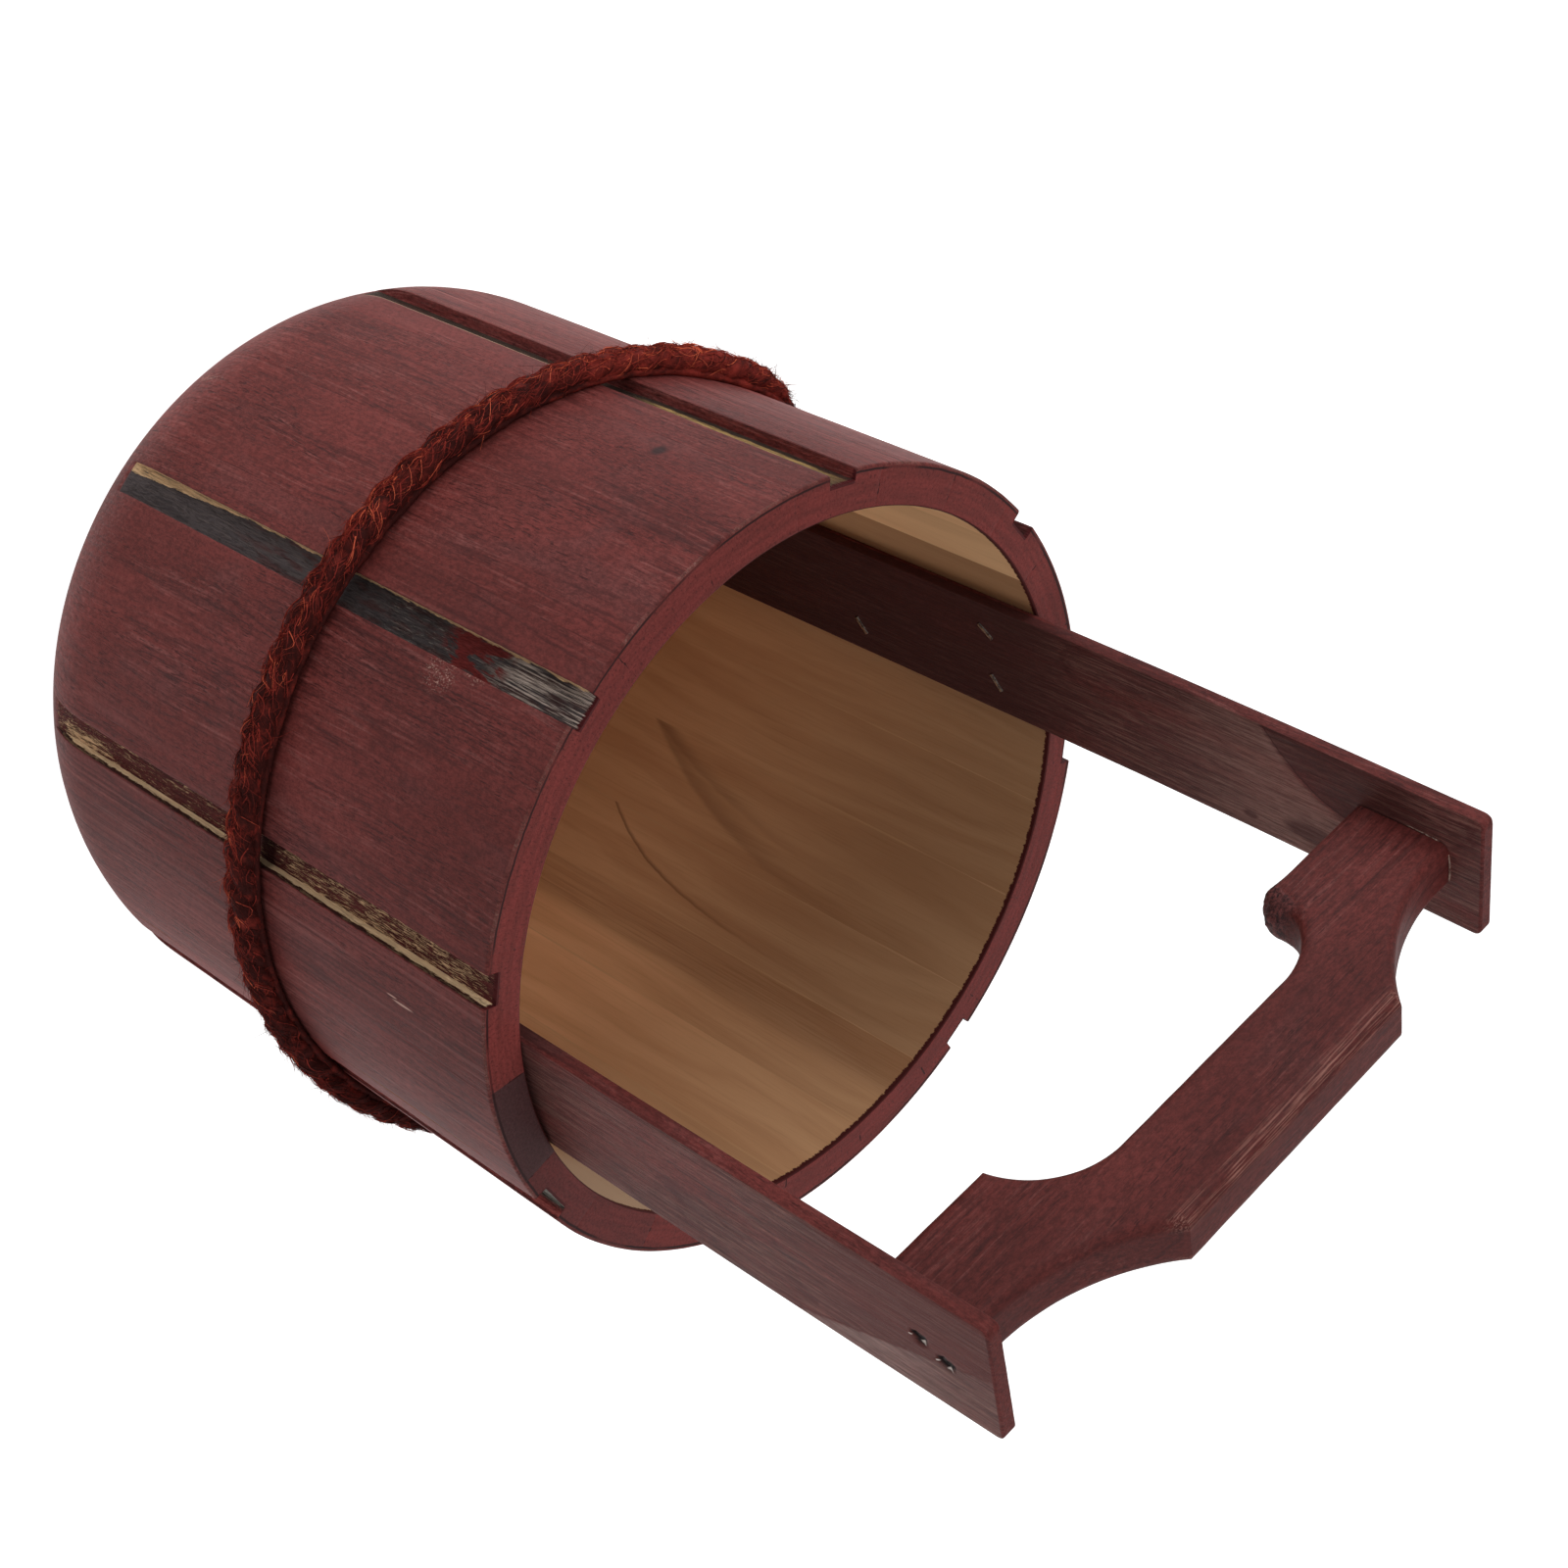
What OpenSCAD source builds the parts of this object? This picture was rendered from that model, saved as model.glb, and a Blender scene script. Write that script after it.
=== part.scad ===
// Round staved wooden bucket with a fixed wooden grip.
// Bevel-edged staves stand round a plank bottom, a rope hoop is stapled round their middle,
// and two flat uprights inside the mouth carry a sawn grip between them.
// The base ring stands on z = 0, the mouth opens upwards and the grip runs along X.

/* [Staved wall] */
// Outer radius of the wall at the mouth
mouth_r = 114; // [90:1:150]
// Height of the staves
wall_h = 200; // [160:1:260]
// Thickness of a stave at the mouth
stave_t = 11.7; // [10:0.1:14]
// How much slimmer the wall is at the base than at the mouth, in radius
wall_taper = 0.6; // [0:0.1:3]
// Radius of the turned round-over at the base
base_round_r = 47; // [40:1:70]
// Height at which the round-over starts
base_round_h = 26; // [20:1:30]

/* [Routed grooves] */
// Width of a groove
groove_w = 9.5; // [5:0.5:12]
// Depth of a groove below the wall's face
groove_d = 4; // [1:0.5:5]

/* [Bottom] */
// Height of the bottom's underside above the base ring
bottom_z = 10; // [6:1:14]
// Thickness of the bottom planks
bottom_t = 10; // [6:1:14]
// Depth of the croze, the channel that the bottom sits in
croze_d = 3; // [2:0.5:4]

/* [Uprights] */
// Width of an upright
upright_w = 39; // [30:1:50]
// Thickness of an upright
upright_t = 4.3; // [3:0.1:7]
// How far the uprights stand above the mouth
upright_rise = 148; // [120:1:190]
// Radius of an upright's worn top corners
upright_corner_r = 2.5; // [1:0.5:5]
// How far the right upright has bowed inwards at its top
right_bow = 1.2; // [0:0.1:4]
// How far the left upright has bowed inwards at its top
left_bow = 2.6; // [0:0.1:4]
// How far both uprights and the grip stand off the centre line, along Y
upright_shift = -1.2; // [-4:0.1:4]

/* [Grip] */
// Thickness of the grip, along Y
grip_t = 15; // [12:0.5:22]
// Height of the grip's crest above the mouth
grip_crest = 157.8; // [150:0.1:170]
// Height of the crest above the ends' top faces
crest_rise = 19.8; // [12:0.1:24]
// Height of the grip's ends
grip_end_h = 28.3; // [22:0.1:34]
// Height of the hand hollow above the ends' undersides
hollow_h = 20.8; // [14:0.1:24]
// Half the width of the hand hollow at its mouth
hollow_half = 57; // [50:1:66]
// Radius of the hollow's sawn corners
hollow_r = 26; // [22:1:32]
// Half the length of the flat crest
crest_half = 42; // [36:1:50]
// Radius of the sawn sweeps from the crest down to the ends
sweep_r = 65; // [55:1:80]
// Radius of the sanded edges
arris_r = 2.5; // [1:0.5:4]

/* [Rope hoop] */
// Diameter of the rope
rope_d = 8; // [6:0.5:12]
// Height of the rope's centre line, at its middle
rope_z = 113; // [80:1:150]
// Tilt of the hoop, as it was stapled a little askew
rope_tilt = 3.2; // [0:0.1:4]
// Direction of the hoop's highest point, in degrees from +X
rope_high_at = 170; // [0:1:359]
// Direction of the butted ends
rope_ends_at = 227; // [0:1:359]
// Gap between the butted ends, in degrees
rope_end_gap = 1.5; // [0.5:0.5:5]

/* [Fasteners] */
// Diameter of the staple wire
wire_d = 1; // [0.6:0.1:1.4]
// Distance between the legs of a staple
crown = 5; // [3.5:0.5:7]
// How far the staples' legs go into the wall
leg_hold = 4; // [2:0.5:6]
// Diameter of the nails that hold the grip
nail_d = 1.6; // [1.2:0.1:2.4]
// Diameter of a nail's head
nail_head_d = 3; // [2.6:0.1:4]
// How far the nails go into the grip
nail_hold = 22; // [15:1:30]

/* [Hidden] */
$fn = 96;
round_fn = 180;
eps = 1;
// clearance between a seated piece and the wall that holds it
seat_gap = 0.15;

inner_r = mouth_r - stave_t;
base_r = mouth_r - wall_taper;
croze_r = inner_r + croze_d;
bottom_top = bottom_z + bottom_t;
upright_top = wall_h + upright_rise;
nail_head_t = 0.6;

// where the wall's seams lie round the bucket, in degrees from +X, as sawn by hand
seams = [11, 26, 42, 58, 72.5, 89.5, 105, 119.5, 137, 154, 170,
         185, 200, 214, 228, 244, 260, 276.5, 293, 312, 333, 353.5];
// middles of the grooves round the bucket
grooves = [18.1, 66, 113.5, 162.5, 208.3, 251.5, 300.8, 338.1];
// joints between the bottom planks, as shares of the bottom's radius
plank_joints = [-0.48, 0.04, 0.53];
// staples in each upright: shift along Y, depth below the mouth, slant from upright
right_staples = [[-7, 70, 50], [9, 17, -45], [-8.5, 12, 55]];
left_staples = [[9.6, 68.4, 54], [-9.7, 16.7, 39], [8.6, 14.8, 55]];
// first rope staple, and the step to the next ones
rope_staple_from = 277;
rope_staple_step = 42.5;
rope_staple_count = 8;
// nails at each end of the grip: shift along Y, height above the grip end's underside
nails = [[-1.4, 16.2], [2.5, 23.6]];
// heights of the bends along a bowed upright, as shares of its rise, and the bow there
bow_steps = [[0, 0], [0.25, 0.07], [0.5, 0.27], [0.7, 0.52], [1, 1]];

stave_count = len(seams);
plank_count = len(plank_joints) + 1;
function numbered(name, i) = str(name, i < 9 ? "_0" : "_", i + 1);

function wall_r(z) = base_r + wall_taper * z / wall_h;

// The wall

// where the round-over's centre lies, so that it runs out tangent to the wall
round_x = wall_r(base_round_h) - base_round_r;

module wall_profile() {
    difference() {
        polygon([[inner_r, 0], [base_r, 0], [mouth_r, wall_h], [inner_r, wall_h]]);
        difference() {
            translate([round_x, -eps]) square([base_round_r + eps, base_round_h + eps]);
            translate([round_x, base_round_h]) circle(r = base_round_r, $fn = round_fn);
        }
        translate([inner_r - eps, bottom_z]) square([croze_d + eps, bottom_t]);
    }
}

function seam_after(i) = i + 1 < stave_count ? seams[i + 1] : seams[0] + 360;
// true where direction a lies within stave i, give or take a margin in degrees
function in_stave(i, a, margin = 0) =
    let (b = a < seams[0] ? a + 360 : a) b > seams[i] - margin && b < seam_after(i) + margin;

module groove(a) {
    rotate([0, 0, a])
        translate([mouth_r - groove_d, -groove_w / 2, -eps])
            cube([groove_d + eps, groove_w, wall_h + 2 * eps]);
}

module stave(i) {
    color("#6b3030")
        difference() {
            rotate([0, 0, seams[i]])
                rotate_extrude(angle = seam_after(i) - seams[i], $fn = round_fn) wall_profile();
            for (a = grooves) if (in_stave(i, a, 4)) groove(a);
            for (n = [0 : rope_staple_count - 1])
                if (in_stave(i, rope_staple_at(n), 3)) rope_staple(n);
            if (in_stave(i, 0, 12)) upright_staple_row(1);
            if (in_stave(i, 180, 12)) upright_staple_row(-1);
        }
}

// The bottom, four planks edge to edge in the croze

function joint_x(i) = i < 0 ? -croze_r - eps : i >= plank_count - 1 ? croze_r + eps
                                             : plank_joints[i] * croze_r;

module bottom_plank(i) {
    color("#8a6a48")
        intersection() {
            translate([0, 0, bottom_z])
                cylinder(r = croze_r - seat_gap, h = bottom_t, $fn = round_fn);
            translate([joint_x(i - 1), -croze_r - eps, bottom_z - eps])
                cube([joint_x(i) - joint_x(i - 1), 2 * (croze_r + eps), bottom_t + 2 * eps]);
        }
}

// The uprights, whose back edges bear on the round wall

upright_reach = upright_w / 2 + abs(upright_shift);
upright_face = sqrt(pow(inner_r - seat_gap, 2) - pow(upright_reach, 2));
function bow_of(side) = side > 0 ? right_bow : left_bow;
// distance of an upright's outer face from the centre line, at height z
function face_x(side, z) = upright_face - bow_of(side) * lookup((z - wall_h) / upright_rise, bow_steps);

module upright_side(side) {
    heights = concat([bottom_top], [for (s = bow_steps) wall_h + s[0] * upright_rise]);
    outer = [for (z = heights) [face_x(side, z), z]];
    inner = [for (k = [len(heights) - 1 : -1 : 0]) outer[k] - [upright_t, 0]];
    polygon(concat(outer, inner));
}

module corner_cutter() {
    difference() {
        square(upright_corner_r + eps);
        circle(r = upright_corner_r, $fn = 32);
    }
}

module upright(side) {
    color("#5c3a38")
        difference() {
            mirror([side > 0 ? 0 : 1, 0, 0])
                translate([0, upright_shift + upright_w / 2, 0])
                    rotate([90, 0, 0]) linear_extrude(upright_w) upright_side(side);
            for (s = [-1, 1])
                translate([0, upright_shift + s * (upright_w / 2 - upright_corner_r), 0])
                    mirror([0, s > 0 ? 0 : 1, 0])
                        translate([-mouth_r, 0, upright_top - upright_corner_r])
                            rotate([90, 0, 90]) linear_extrude(2 * mouth_r) corner_cutter();
            upright_staple_row(side);
            grip_nail_pair(side);
        }
}

// The grip, sawn from one board and sanded along its edges

crest_z = wall_h + grip_crest;
end_top = crest_z - crest_rise;
end_low = end_top - grip_end_h;
hollow_top = end_low + hollow_h;
// the sweep touches the end's top face here, and meets the crest at crest_half
sweep_x = crest_half + sqrt(pow(sweep_r, 2) - pow(sweep_r - crest_rise, 2));
// the hollow's corners touch its flat here, and meet the ends' undersides at hollow_half
hollow_x = hollow_half - sqrt(pow(hollow_r, 2) - pow(hollow_r - hollow_h, 2));

function grip_end(side, z) = side * (face_x(side, z) - upright_t);

module grip_outline() {
    difference() {
        polygon([
            [grip_end(-1, end_low), end_low], [grip_end(1, end_low), end_low],
            [grip_end(1, end_top), end_top], [sweep_x, end_top],
            [crest_half, crest_z], [-crest_half, crest_z],
            [-sweep_x, end_top], [grip_end(-1, end_top), end_top]
        ]);
        for (s = [-1, 1]) {
            translate([s * sweep_x, end_top + sweep_r]) circle(r = sweep_r, $fn = round_fn);
            translate([s * hollow_x, hollow_top - hollow_r]) circle(r = hollow_r);
        }
        translate([-hollow_x, end_low - eps]) square([2 * hollow_x, hollow_h + eps]);
    }
}

// what sanding takes off one edge: the first axis goes into the wood, the second out of its face
module arris_section() {
    difference() {
        translate([-eps, -arris_r]) square([arris_r + eps, arris_r + eps]);
        translate([arris_r, -arris_r]) circle(r = arris_r, $fn = 32);
    }
}

module straight_arris(x0, x1, z, up) {
    translate([x0, grip_t / 2, z])
        mirror([0, 0, up ? 0 : 1])
            rotate([0, 90, 0]) linear_extrude(x1 - x0) arris_section();
}

module round_arris(x, z, r) {
    translate([x, 0, z])
        rotate([-90, 0, 0])
            rotate_extrude($fn = round_fn) translate([r, grip_t / 2]) arris_section();
}

module grip_arrises() {
    straight_arris(-crest_half, crest_half, crest_z, true);
    straight_arris(-hollow_x, hollow_x, hollow_top, false);
    for (s = [-1, 1]) {
        round_arris(s * sweep_x, end_top + sweep_r, sweep_r);
        round_arris(s * hollow_x, hollow_top - hollow_r, hollow_r);
    }
    straight_arris(hollow_half, mouth_r, end_low, false);
    straight_arris(-mouth_r, -hollow_half, end_low, false);
    straight_arris(sweep_x, mouth_r + sweep_x, end_top, true);
    straight_arris(-mouth_r - sweep_x, -sweep_x, end_top, true);
}

module grip() {
    color("#66302f")
        difference() {
            translate([0, upright_shift, 0])
                difference() {
                    translate([0, grip_t / 2, 0])
                        rotate([90, 0, 0]) linear_extrude(grip_t) grip_outline();
                    grip_arrises();
                    mirror([0, 1, 0]) grip_arrises();
                }
            grip_nail_pair(1);
            grip_nail_pair(-1);
        }
}

// The rope hoop, laid round the wall with its ends butted

// widest wall that the tilted hoop has to pass round
hoop_r = (wall_r(rope_z + mouth_r * sin(rope_tilt)) + seat_gap + rope_d / 2) / cos(rope_tilt);

// turns a thing lying in the hoop's own plane to where the hoop lies
module hoop_place() {
    translate([0, 0, rope_z])
        rotate([0, 0, rope_high_at]) rotate([0, -rope_tilt, 0]) rotate([0, 0, -rope_high_at])
            children();
}

module rope_hoop() {
    color("#7a2a22")
        difference() {
            hoop_place()
                rotate([0, 0, rope_ends_at + rope_end_gap / 2])
                    rotate_extrude(angle = 360 - rope_end_gap, $fn = round_fn)
                        translate([hoop_r, 0]) circle(d = rope_d, $fn = 32);
            for (n = [0 : rope_staple_count - 1]) rope_staple(n);
        }
}

// Fasteners

// a staple in its own place: crown along X at z = 0, legs down to -leg
module staple(leg) {
    for (s = [-1, 1])
        translate([s * crown / 2, 0, -leg]) cylinder(d = wire_d, h = leg, $fn = 16);
    translate([-(crown + wire_d) / 2, -wire_d / 2, 0]) cube([crown + wire_d, wire_d, wire_d / 2]);
}

function rope_staple_at(n) = (rope_staple_from + n * rope_staple_step) % 360;

module rope_staple(n) {
    hoop_place()
        rotate([0, 0, rope_staple_at(n)])
            translate([hoop_r + rope_d / 2 - wire_d / 4, 0, 0])
                rotate([90, 0, 90]) staple(rope_d - wire_d / 4 + 2 * seat_gap + leg_hold);
}

module rope_staples() {
    color("#b9b4ac")
        for (n = [0 : rope_staple_count - 1]) rope_staple(n);
}

// a staple driven outwards through an upright into the wall
module upright_staple(side, spec) {
    mirror([side > 0 ? 0 : 1, 0, 0])
        translate([upright_face - upright_t, upright_shift + spec[0], wall_h - spec[1]])
            rotate([-spec[2], 0, 0])
                rotate([0, -90, 0])
                    staple(inner_r - upright_face + upright_t + leg_hold);
}

module upright_staple_row(side) {
    for (spec = side > 0 ? right_staples : left_staples) upright_staple(side, spec);
}

module upright_staples() {
    color("#b9b4ac") {
        upright_staple_row(1);
        upright_staple_row(-1);
    }
}

// a nail driven inwards through an upright into the end of the grip
module grip_nail(side, spec) {
    z = end_low + spec[1];
    mirror([side > 0 ? 0 : 1, 0, 0])
        translate([face_x(side, z) - nail_head_t, upright_shift + spec[0], z])
            rotate([0, -90, 0])
                union() {
                    cylinder(d = nail_d, h = upright_t + nail_hold, $fn = 24);
                    translate([0, 0, -nail_head_t]) cylinder(d = nail_head_d, h = nail_head_t, $fn = 24);
                }
}

module grip_nail_pair(side) {
    for (spec = nails) grip_nail(side, spec);
}

module grip_nails() {
    color("#3c3836") {
        grip_nail_pair(1);
        grip_nail_pair(-1);
    }
}

for (i = [0 : stave_count - 1])
    stave(i);
for (i = [0 : plank_count - 1])
    bottom_plank(i);
upright(1);  // upright_right
upright(-1);  // upright_left
grip();
rope_hoop();
rope_staples();
upright_staples();
grip_nails();
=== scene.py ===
# %% [markdown]
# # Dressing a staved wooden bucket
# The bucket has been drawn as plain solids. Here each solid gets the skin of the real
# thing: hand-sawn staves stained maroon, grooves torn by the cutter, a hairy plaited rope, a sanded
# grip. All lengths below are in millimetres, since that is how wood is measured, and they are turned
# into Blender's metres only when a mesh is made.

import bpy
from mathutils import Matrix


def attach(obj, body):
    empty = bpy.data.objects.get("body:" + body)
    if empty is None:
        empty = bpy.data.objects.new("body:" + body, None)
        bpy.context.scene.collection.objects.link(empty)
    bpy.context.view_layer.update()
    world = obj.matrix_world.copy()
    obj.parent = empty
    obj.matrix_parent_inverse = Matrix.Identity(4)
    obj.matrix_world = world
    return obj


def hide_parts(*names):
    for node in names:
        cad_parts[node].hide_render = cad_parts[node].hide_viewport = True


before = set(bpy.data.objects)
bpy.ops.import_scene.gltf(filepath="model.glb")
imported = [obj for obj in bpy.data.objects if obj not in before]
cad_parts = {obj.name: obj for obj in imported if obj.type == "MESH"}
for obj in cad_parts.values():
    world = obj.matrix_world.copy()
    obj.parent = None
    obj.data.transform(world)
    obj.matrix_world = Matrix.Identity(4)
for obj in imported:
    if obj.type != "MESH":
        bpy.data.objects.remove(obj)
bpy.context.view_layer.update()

# %% [markdown]
# ## Camera
# A camera is a place, a direction and a roll. The picture was taken with the bucket tipped over, so
# here the bucket stands and the camera rolls instead. The lens is given as a focal length on a 36 mm
# sensor.

# %% Camera
import math
import random
from functools import reduce
from types import SimpleNamespace

import bmesh
import bpy
from mathutils import Matrix, Vector, noise

MM = 0.001
EYE = Vector((0.3272, -0.4678, 0.5983))
LOOK_AT = Vector((-0.0142, -0.0106, 0.1794))
ROLL = math.radians(116.91)
LENS = 59.39

ahead = (LOOK_AT - EYE).normalized()
level = ahead.cross(Vector((0, 0, 1))).normalized()
upright = level.cross(ahead)
right = level * math.cos(ROLL) + upright * math.sin(ROLL)
up = upright * math.cos(ROLL) - level * math.sin(ROLL)
camera_data = bpy.data.cameras.new("camera")
camera_data.lens = LENS
camera_data.sensor_width = 36
camera_data.clip_start = 0.05
camera = bpy.data.objects.new("camera", camera_data)
turn = Matrix((right, up, -ahead)).transposed().to_4x4()
camera.matrix_world = Matrix.Translation(EYE) @ turn
bpy.context.scene.collection.objects.link(camera)
bpy.context.scene.camera = camera
print("camera looks along", tuple(round(v, 3) for v in ahead))

# %% [markdown]
# ## A short hand for node networks
# A finish in Blender is a network of small nodes. Written out in full it takes a page, so this helper
# adds one node a line: each call puts a node down, joins its inputs, and hands back its output. Numbers
# go straight onto a socket and outputs are linked, whichever is passed.

# %% Finish helper
class Finish:
    """One material, put together a node at a time."""

    def __init__(self, name):
        self.material = bpy.data.materials.new(name)
        self.material.use_nodes = True
        self.tree = self.material.node_tree
        self.tree.nodes.clear()

    def put(self, kind, sockets, out=0, **settings):
        node = self.tree.nodes.new(kind)
        for name, value in settings.items():
            setattr(node, name, value)
        for socket, value in sockets.items():
            if isinstance(value, bpy.types.NodeSocket):
                self.tree.links.new(value, node.inputs[socket])
            else:
                node.inputs[socket].default_value = value
        return node.outputs[out] if node.outputs else None

    def read(self, name, out="Fac"):
        """A value that the mesh keeps at its points."""
        return self.put("ShaderNodeAttribute", {}, out, attribute_name=name)

    def place(self):
        """Where a point lies in the frame, in millimetres."""
        here = self.put("ShaderNodeTexCoord", {}, "Object")
        return self.put("ShaderNodeVectorMath", {0: here, 3: 1000}, operation="SCALE")

    def parts(self, vector):
        node = self.put("ShaderNodeSeparateXYZ", {0: vector}).node
        return node.outputs[0], node.outputs[1], node.outputs[2]

    def join(self, x, y, z):
        return self.put("ShaderNodeCombineXYZ", {0: x, 1: y, 2: z})

    def stretch(self, vector, by):
        return self.put("ShaderNodeVectorMath", {0: vector, 1: by}, operation="MULTIPLY")

    def shift(self, vector, by):
        return self.put("ShaderNodeVectorMath", {0: vector, 1: by}, operation="ADD")

    def step(self, operation, a, b=0.0, c=0.0):
        """One step of arithmetic."""
        return self.put("ShaderNodeMath", {0: a, 1: b, 2: c}, operation=operation)

    def times(self, *amounts):
        return reduce(lambda a, b: self.step("MULTIPLY", a, b), amounts)

    def plus(self, *amounts):
        return reduce(lambda a, b: self.step("ADD", a, b), amounts)

    def most(self, *amounts):
        return reduce(lambda a, b: self.step("MAXIMUM", a, b), amounts)

    def minus(self, a, b):
        return self.step("SUBTRACT", a, b)

    def size(self, a):
        """A value without its sign."""
        return self.step("ABSOLUTE", a)

    def above(self, a, b):
        return self.step("GREATER_THAN", a, b)

    def below(self, a, b):
        return self.step("LESS_THAN", a, b)

    def match(self, value, wanted):
        """1 where a whole number that the mesh keeps is the wanted one, and 0 elsewhere."""
        return self.step("COMPARE", value, float(wanted), 0.3)

    def cloud(self, vector, by=(1, 1, 1), detail=2.0, rough=0.5, swirl=0.0):
        """Soft random values from 0 to 1, stretched by how fast they change along each axis."""
        sockets = {"Vector": self.stretch(vector, by), "Scale": 1.0, "Detail": detail,
                   "Roughness": rough, "Distortion": swirl}
        return self.put("ShaderNodeTexNoise", sockets)

    def rise(self, value, low, high, start=0.0, end=1.0):
        """Goes from start to end, smoothly, as value goes from low to high."""
        sockets = {0: value, 1: low, 2: high, 3: start, 4: end}
        return self.put("ShaderNodeMapRange", sockets, interpolation_type="SMOOTHSTEP")

    def blend(self, amount, under, over):
        """Colour over laid on colour under, as thickly as amount says."""
        return self.put("ShaderNodeMix", {0: amount, 6: under, 7: over}, 2, data_type="RGBA")

    def shade(self, colour, amount):
        """A colour made lighter or darker by a factor."""
        return self.put("ShaderNodeVectorMath", {0: colour, 3: amount}, operation="SCALE")

    def near(self, vector, spot, size, soft=0.3):
        """1 close to a spot and 0 away from it, with the reach given along each axis."""
        away = self.shift(vector, tuple(-v for v in spot))
        away = self.stretch(away, tuple(1 / v for v in size))
        far = self.put("ShaderNodeVectorMath", {0: away}, "Value", operation="LENGTH")
        return self.rise(far, 1 - soft, 1 + soft, 1.0, 0.0)

    def band(self, value, low, high, soft):
        """1 between low and high, and 0 outside them, with soft ends."""
        return self.times(self.rise(value, low - soft, low + soft),
                          self.rise(value, high + soft, high - soft))

    def close(self, colour, roughness, heights=(), **constants):
        """The shader at the end. heights are pairs: a pattern, and its height in millimetres."""
        sockets = {"Base Color": colour, "Roughness": roughness}
        for name, value in constants.items():
            sockets[name.replace("_", " ")] = value
        normal = None
        for pattern, height in heights:
            bump = {"Height": pattern, "Distance": height * MM, "Strength": 1.0}
            if normal is not None:
                bump["Normal"] = normal
            normal = self.put("ShaderNodeBump", bump)
        if normal is not None:
            sockets["Normal"] = normal
        shader = self.put("ShaderNodeBsdfPrincipled", sockets)
        self.put("ShaderNodeOutputMaterial", {"Surface": shader})
        return self.material


def rgb(r, g, b):
    """A colour as it is picked on a screen, 0 to 255, turned into the linear light Blender uses."""
    return tuple((v / 255 / 12.92 if v <= 10 else ((v / 255 + 0.055) / 1.055) ** 2.4)
                 for v in (r, g, b)) + (1.0,)


print("a screen grey of 128 is", round(rgb(128, 128, 128)[0], 3), "in linear light")

# %% [markdown]
# ## Light and floor
# A soft studio has a pale surround and a large lamp to one side. The surround lights the object dimly,
# but is shown plain white to the camera and to glossy surfaces by asking which kind of ray arrives.
# The floor does the same: a little white is added to what the camera sees of it, so that it runs out
# into the white surround and still keeps the bucket's soft shadow.

# %% Light and floor
SURROUND = 0.30
FLOOR_BOUNCE, FLOOR_WHITE = 0.30, 0.92
FLOOR_HALF = 4.0

world = bpy.data.worlds.new("surround")
bpy.context.scene.world = world
world.use_nodes = True
sky = world.node_tree
sky.nodes.clear()


def seen_directly(tree):
    """1 for rays that show a thing as it is: from the camera, a mirror or glass."""
    ray = tree.nodes.new("ShaderNodeLightPath")
    total = ray.outputs["Is Camera Ray"]
    for name in ("Is Glossy Ray", "Is Transmission Ray"):
        either = tree.nodes.new("ShaderNodeMath")
        either.operation = "MAXIMUM"
        tree.links.new(total, either.inputs[0])
        tree.links.new(ray.outputs[name], either.inputs[1])
        total = either.outputs[0]
    return total


def mixed(tree, amount, plain, direct):
    mix = tree.nodes.new("ShaderNodeMixShader")
    tree.links.new(amount, mix.inputs[0])
    tree.links.new(plain, mix.inputs[1])
    tree.links.new(direct, mix.inputs[2])
    return mix.outputs[0]


lights = []
for strength in (SURROUND, 1.0):
    background = sky.nodes.new("ShaderNodeBackground")
    background.inputs["Color"].default_value = (1, 1, 1, 1)
    background.inputs["Strength"].default_value = strength
    lights.append(background.outputs[0])
sky_out = sky.nodes.new("ShaderNodeOutputWorld")
sky.links.new(mixed(sky, seen_directly(sky), lights[0], lights[1]), sky_out.inputs[0])

bpy.ops.mesh.primitive_plane_add(size=2 * FLOOR_HALF, location=(0, 0, 0))
floor = bpy.context.object
floor.name = "studio_floor"
floor_paint = bpy.data.materials.new("floor_paint")
floor_paint.use_nodes = True
paint = floor_paint.node_tree
paint.nodes.clear()
matt = paint.nodes.new("ShaderNodeBsdfDiffuse")
matt.inputs["Color"].default_value = (0.72, 0.72, 0.72, 1)
layers = []
for strength in (FLOOR_BOUNCE, FLOOR_WHITE):
    glow = paint.nodes.new("ShaderNodeEmission")
    glow.inputs["Strength"].default_value = strength
    both = paint.nodes.new("ShaderNodeAddShader")
    paint.links.new(matt.outputs[0], both.inputs[0])
    paint.links.new(glow.outputs[0], both.inputs[1])
    layers.append(both.outputs[0])
floor_out = paint.nodes.new("ShaderNodeOutputMaterial")
paint.links.new(mixed(paint, seen_directly(paint), layers[0], layers[1]),
                floor_out.inputs["Surface"])
floor.data.materials.append(floor_paint)


def soft_lamp(name, place, aim, width, height, watts):
    """A square of light, like a lamp behind a white cloth."""
    data = bpy.data.lights.new(name, "AREA")
    data.shape = "RECTANGLE"
    data.size, data.size_y = width, height
    data.energy = watts
    lamp = bpy.data.objects.new(name, data)
    lamp.location = place
    lamp.rotation_euler = (Vector(aim) - Vector(place)).to_track_quat("-Z", "Y").to_euler()
    bpy.context.scene.collection.objects.link(lamp)


soft_lamp("window_lamp", (-0.72, -1.2, 0.40), (0, 0, 0.12), 1.3, 0.7, 8)
soft_lamp("fill_lamp", (0.05, -0.75, 1.35), (0, 0.02, 0.12), 1.2, 1.2, 6)
soft_lamp("back_lamp", (0.8, 0.7, 1.1), (0, 0, 0.15), 0.8, 0.8, 4)

# %% [markdown]
# ## From points to a piece
# Every part below is worked out as a list of points in millimetres and faces between them. Writing
# the mesh in code keeps exact control of where each edge lies. The first helper makes the object,
# shades it smooth except along real edges, keeps extra values at its points for the finishes to read,
# and ties it to the frame. The second joins a row of rings to a closed skin, which suits anything that
# can be drawn as one outline repeated: a board, a rounded plank or a rope.

# %% Piece helper
SAME_POINT = 0.002


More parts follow.
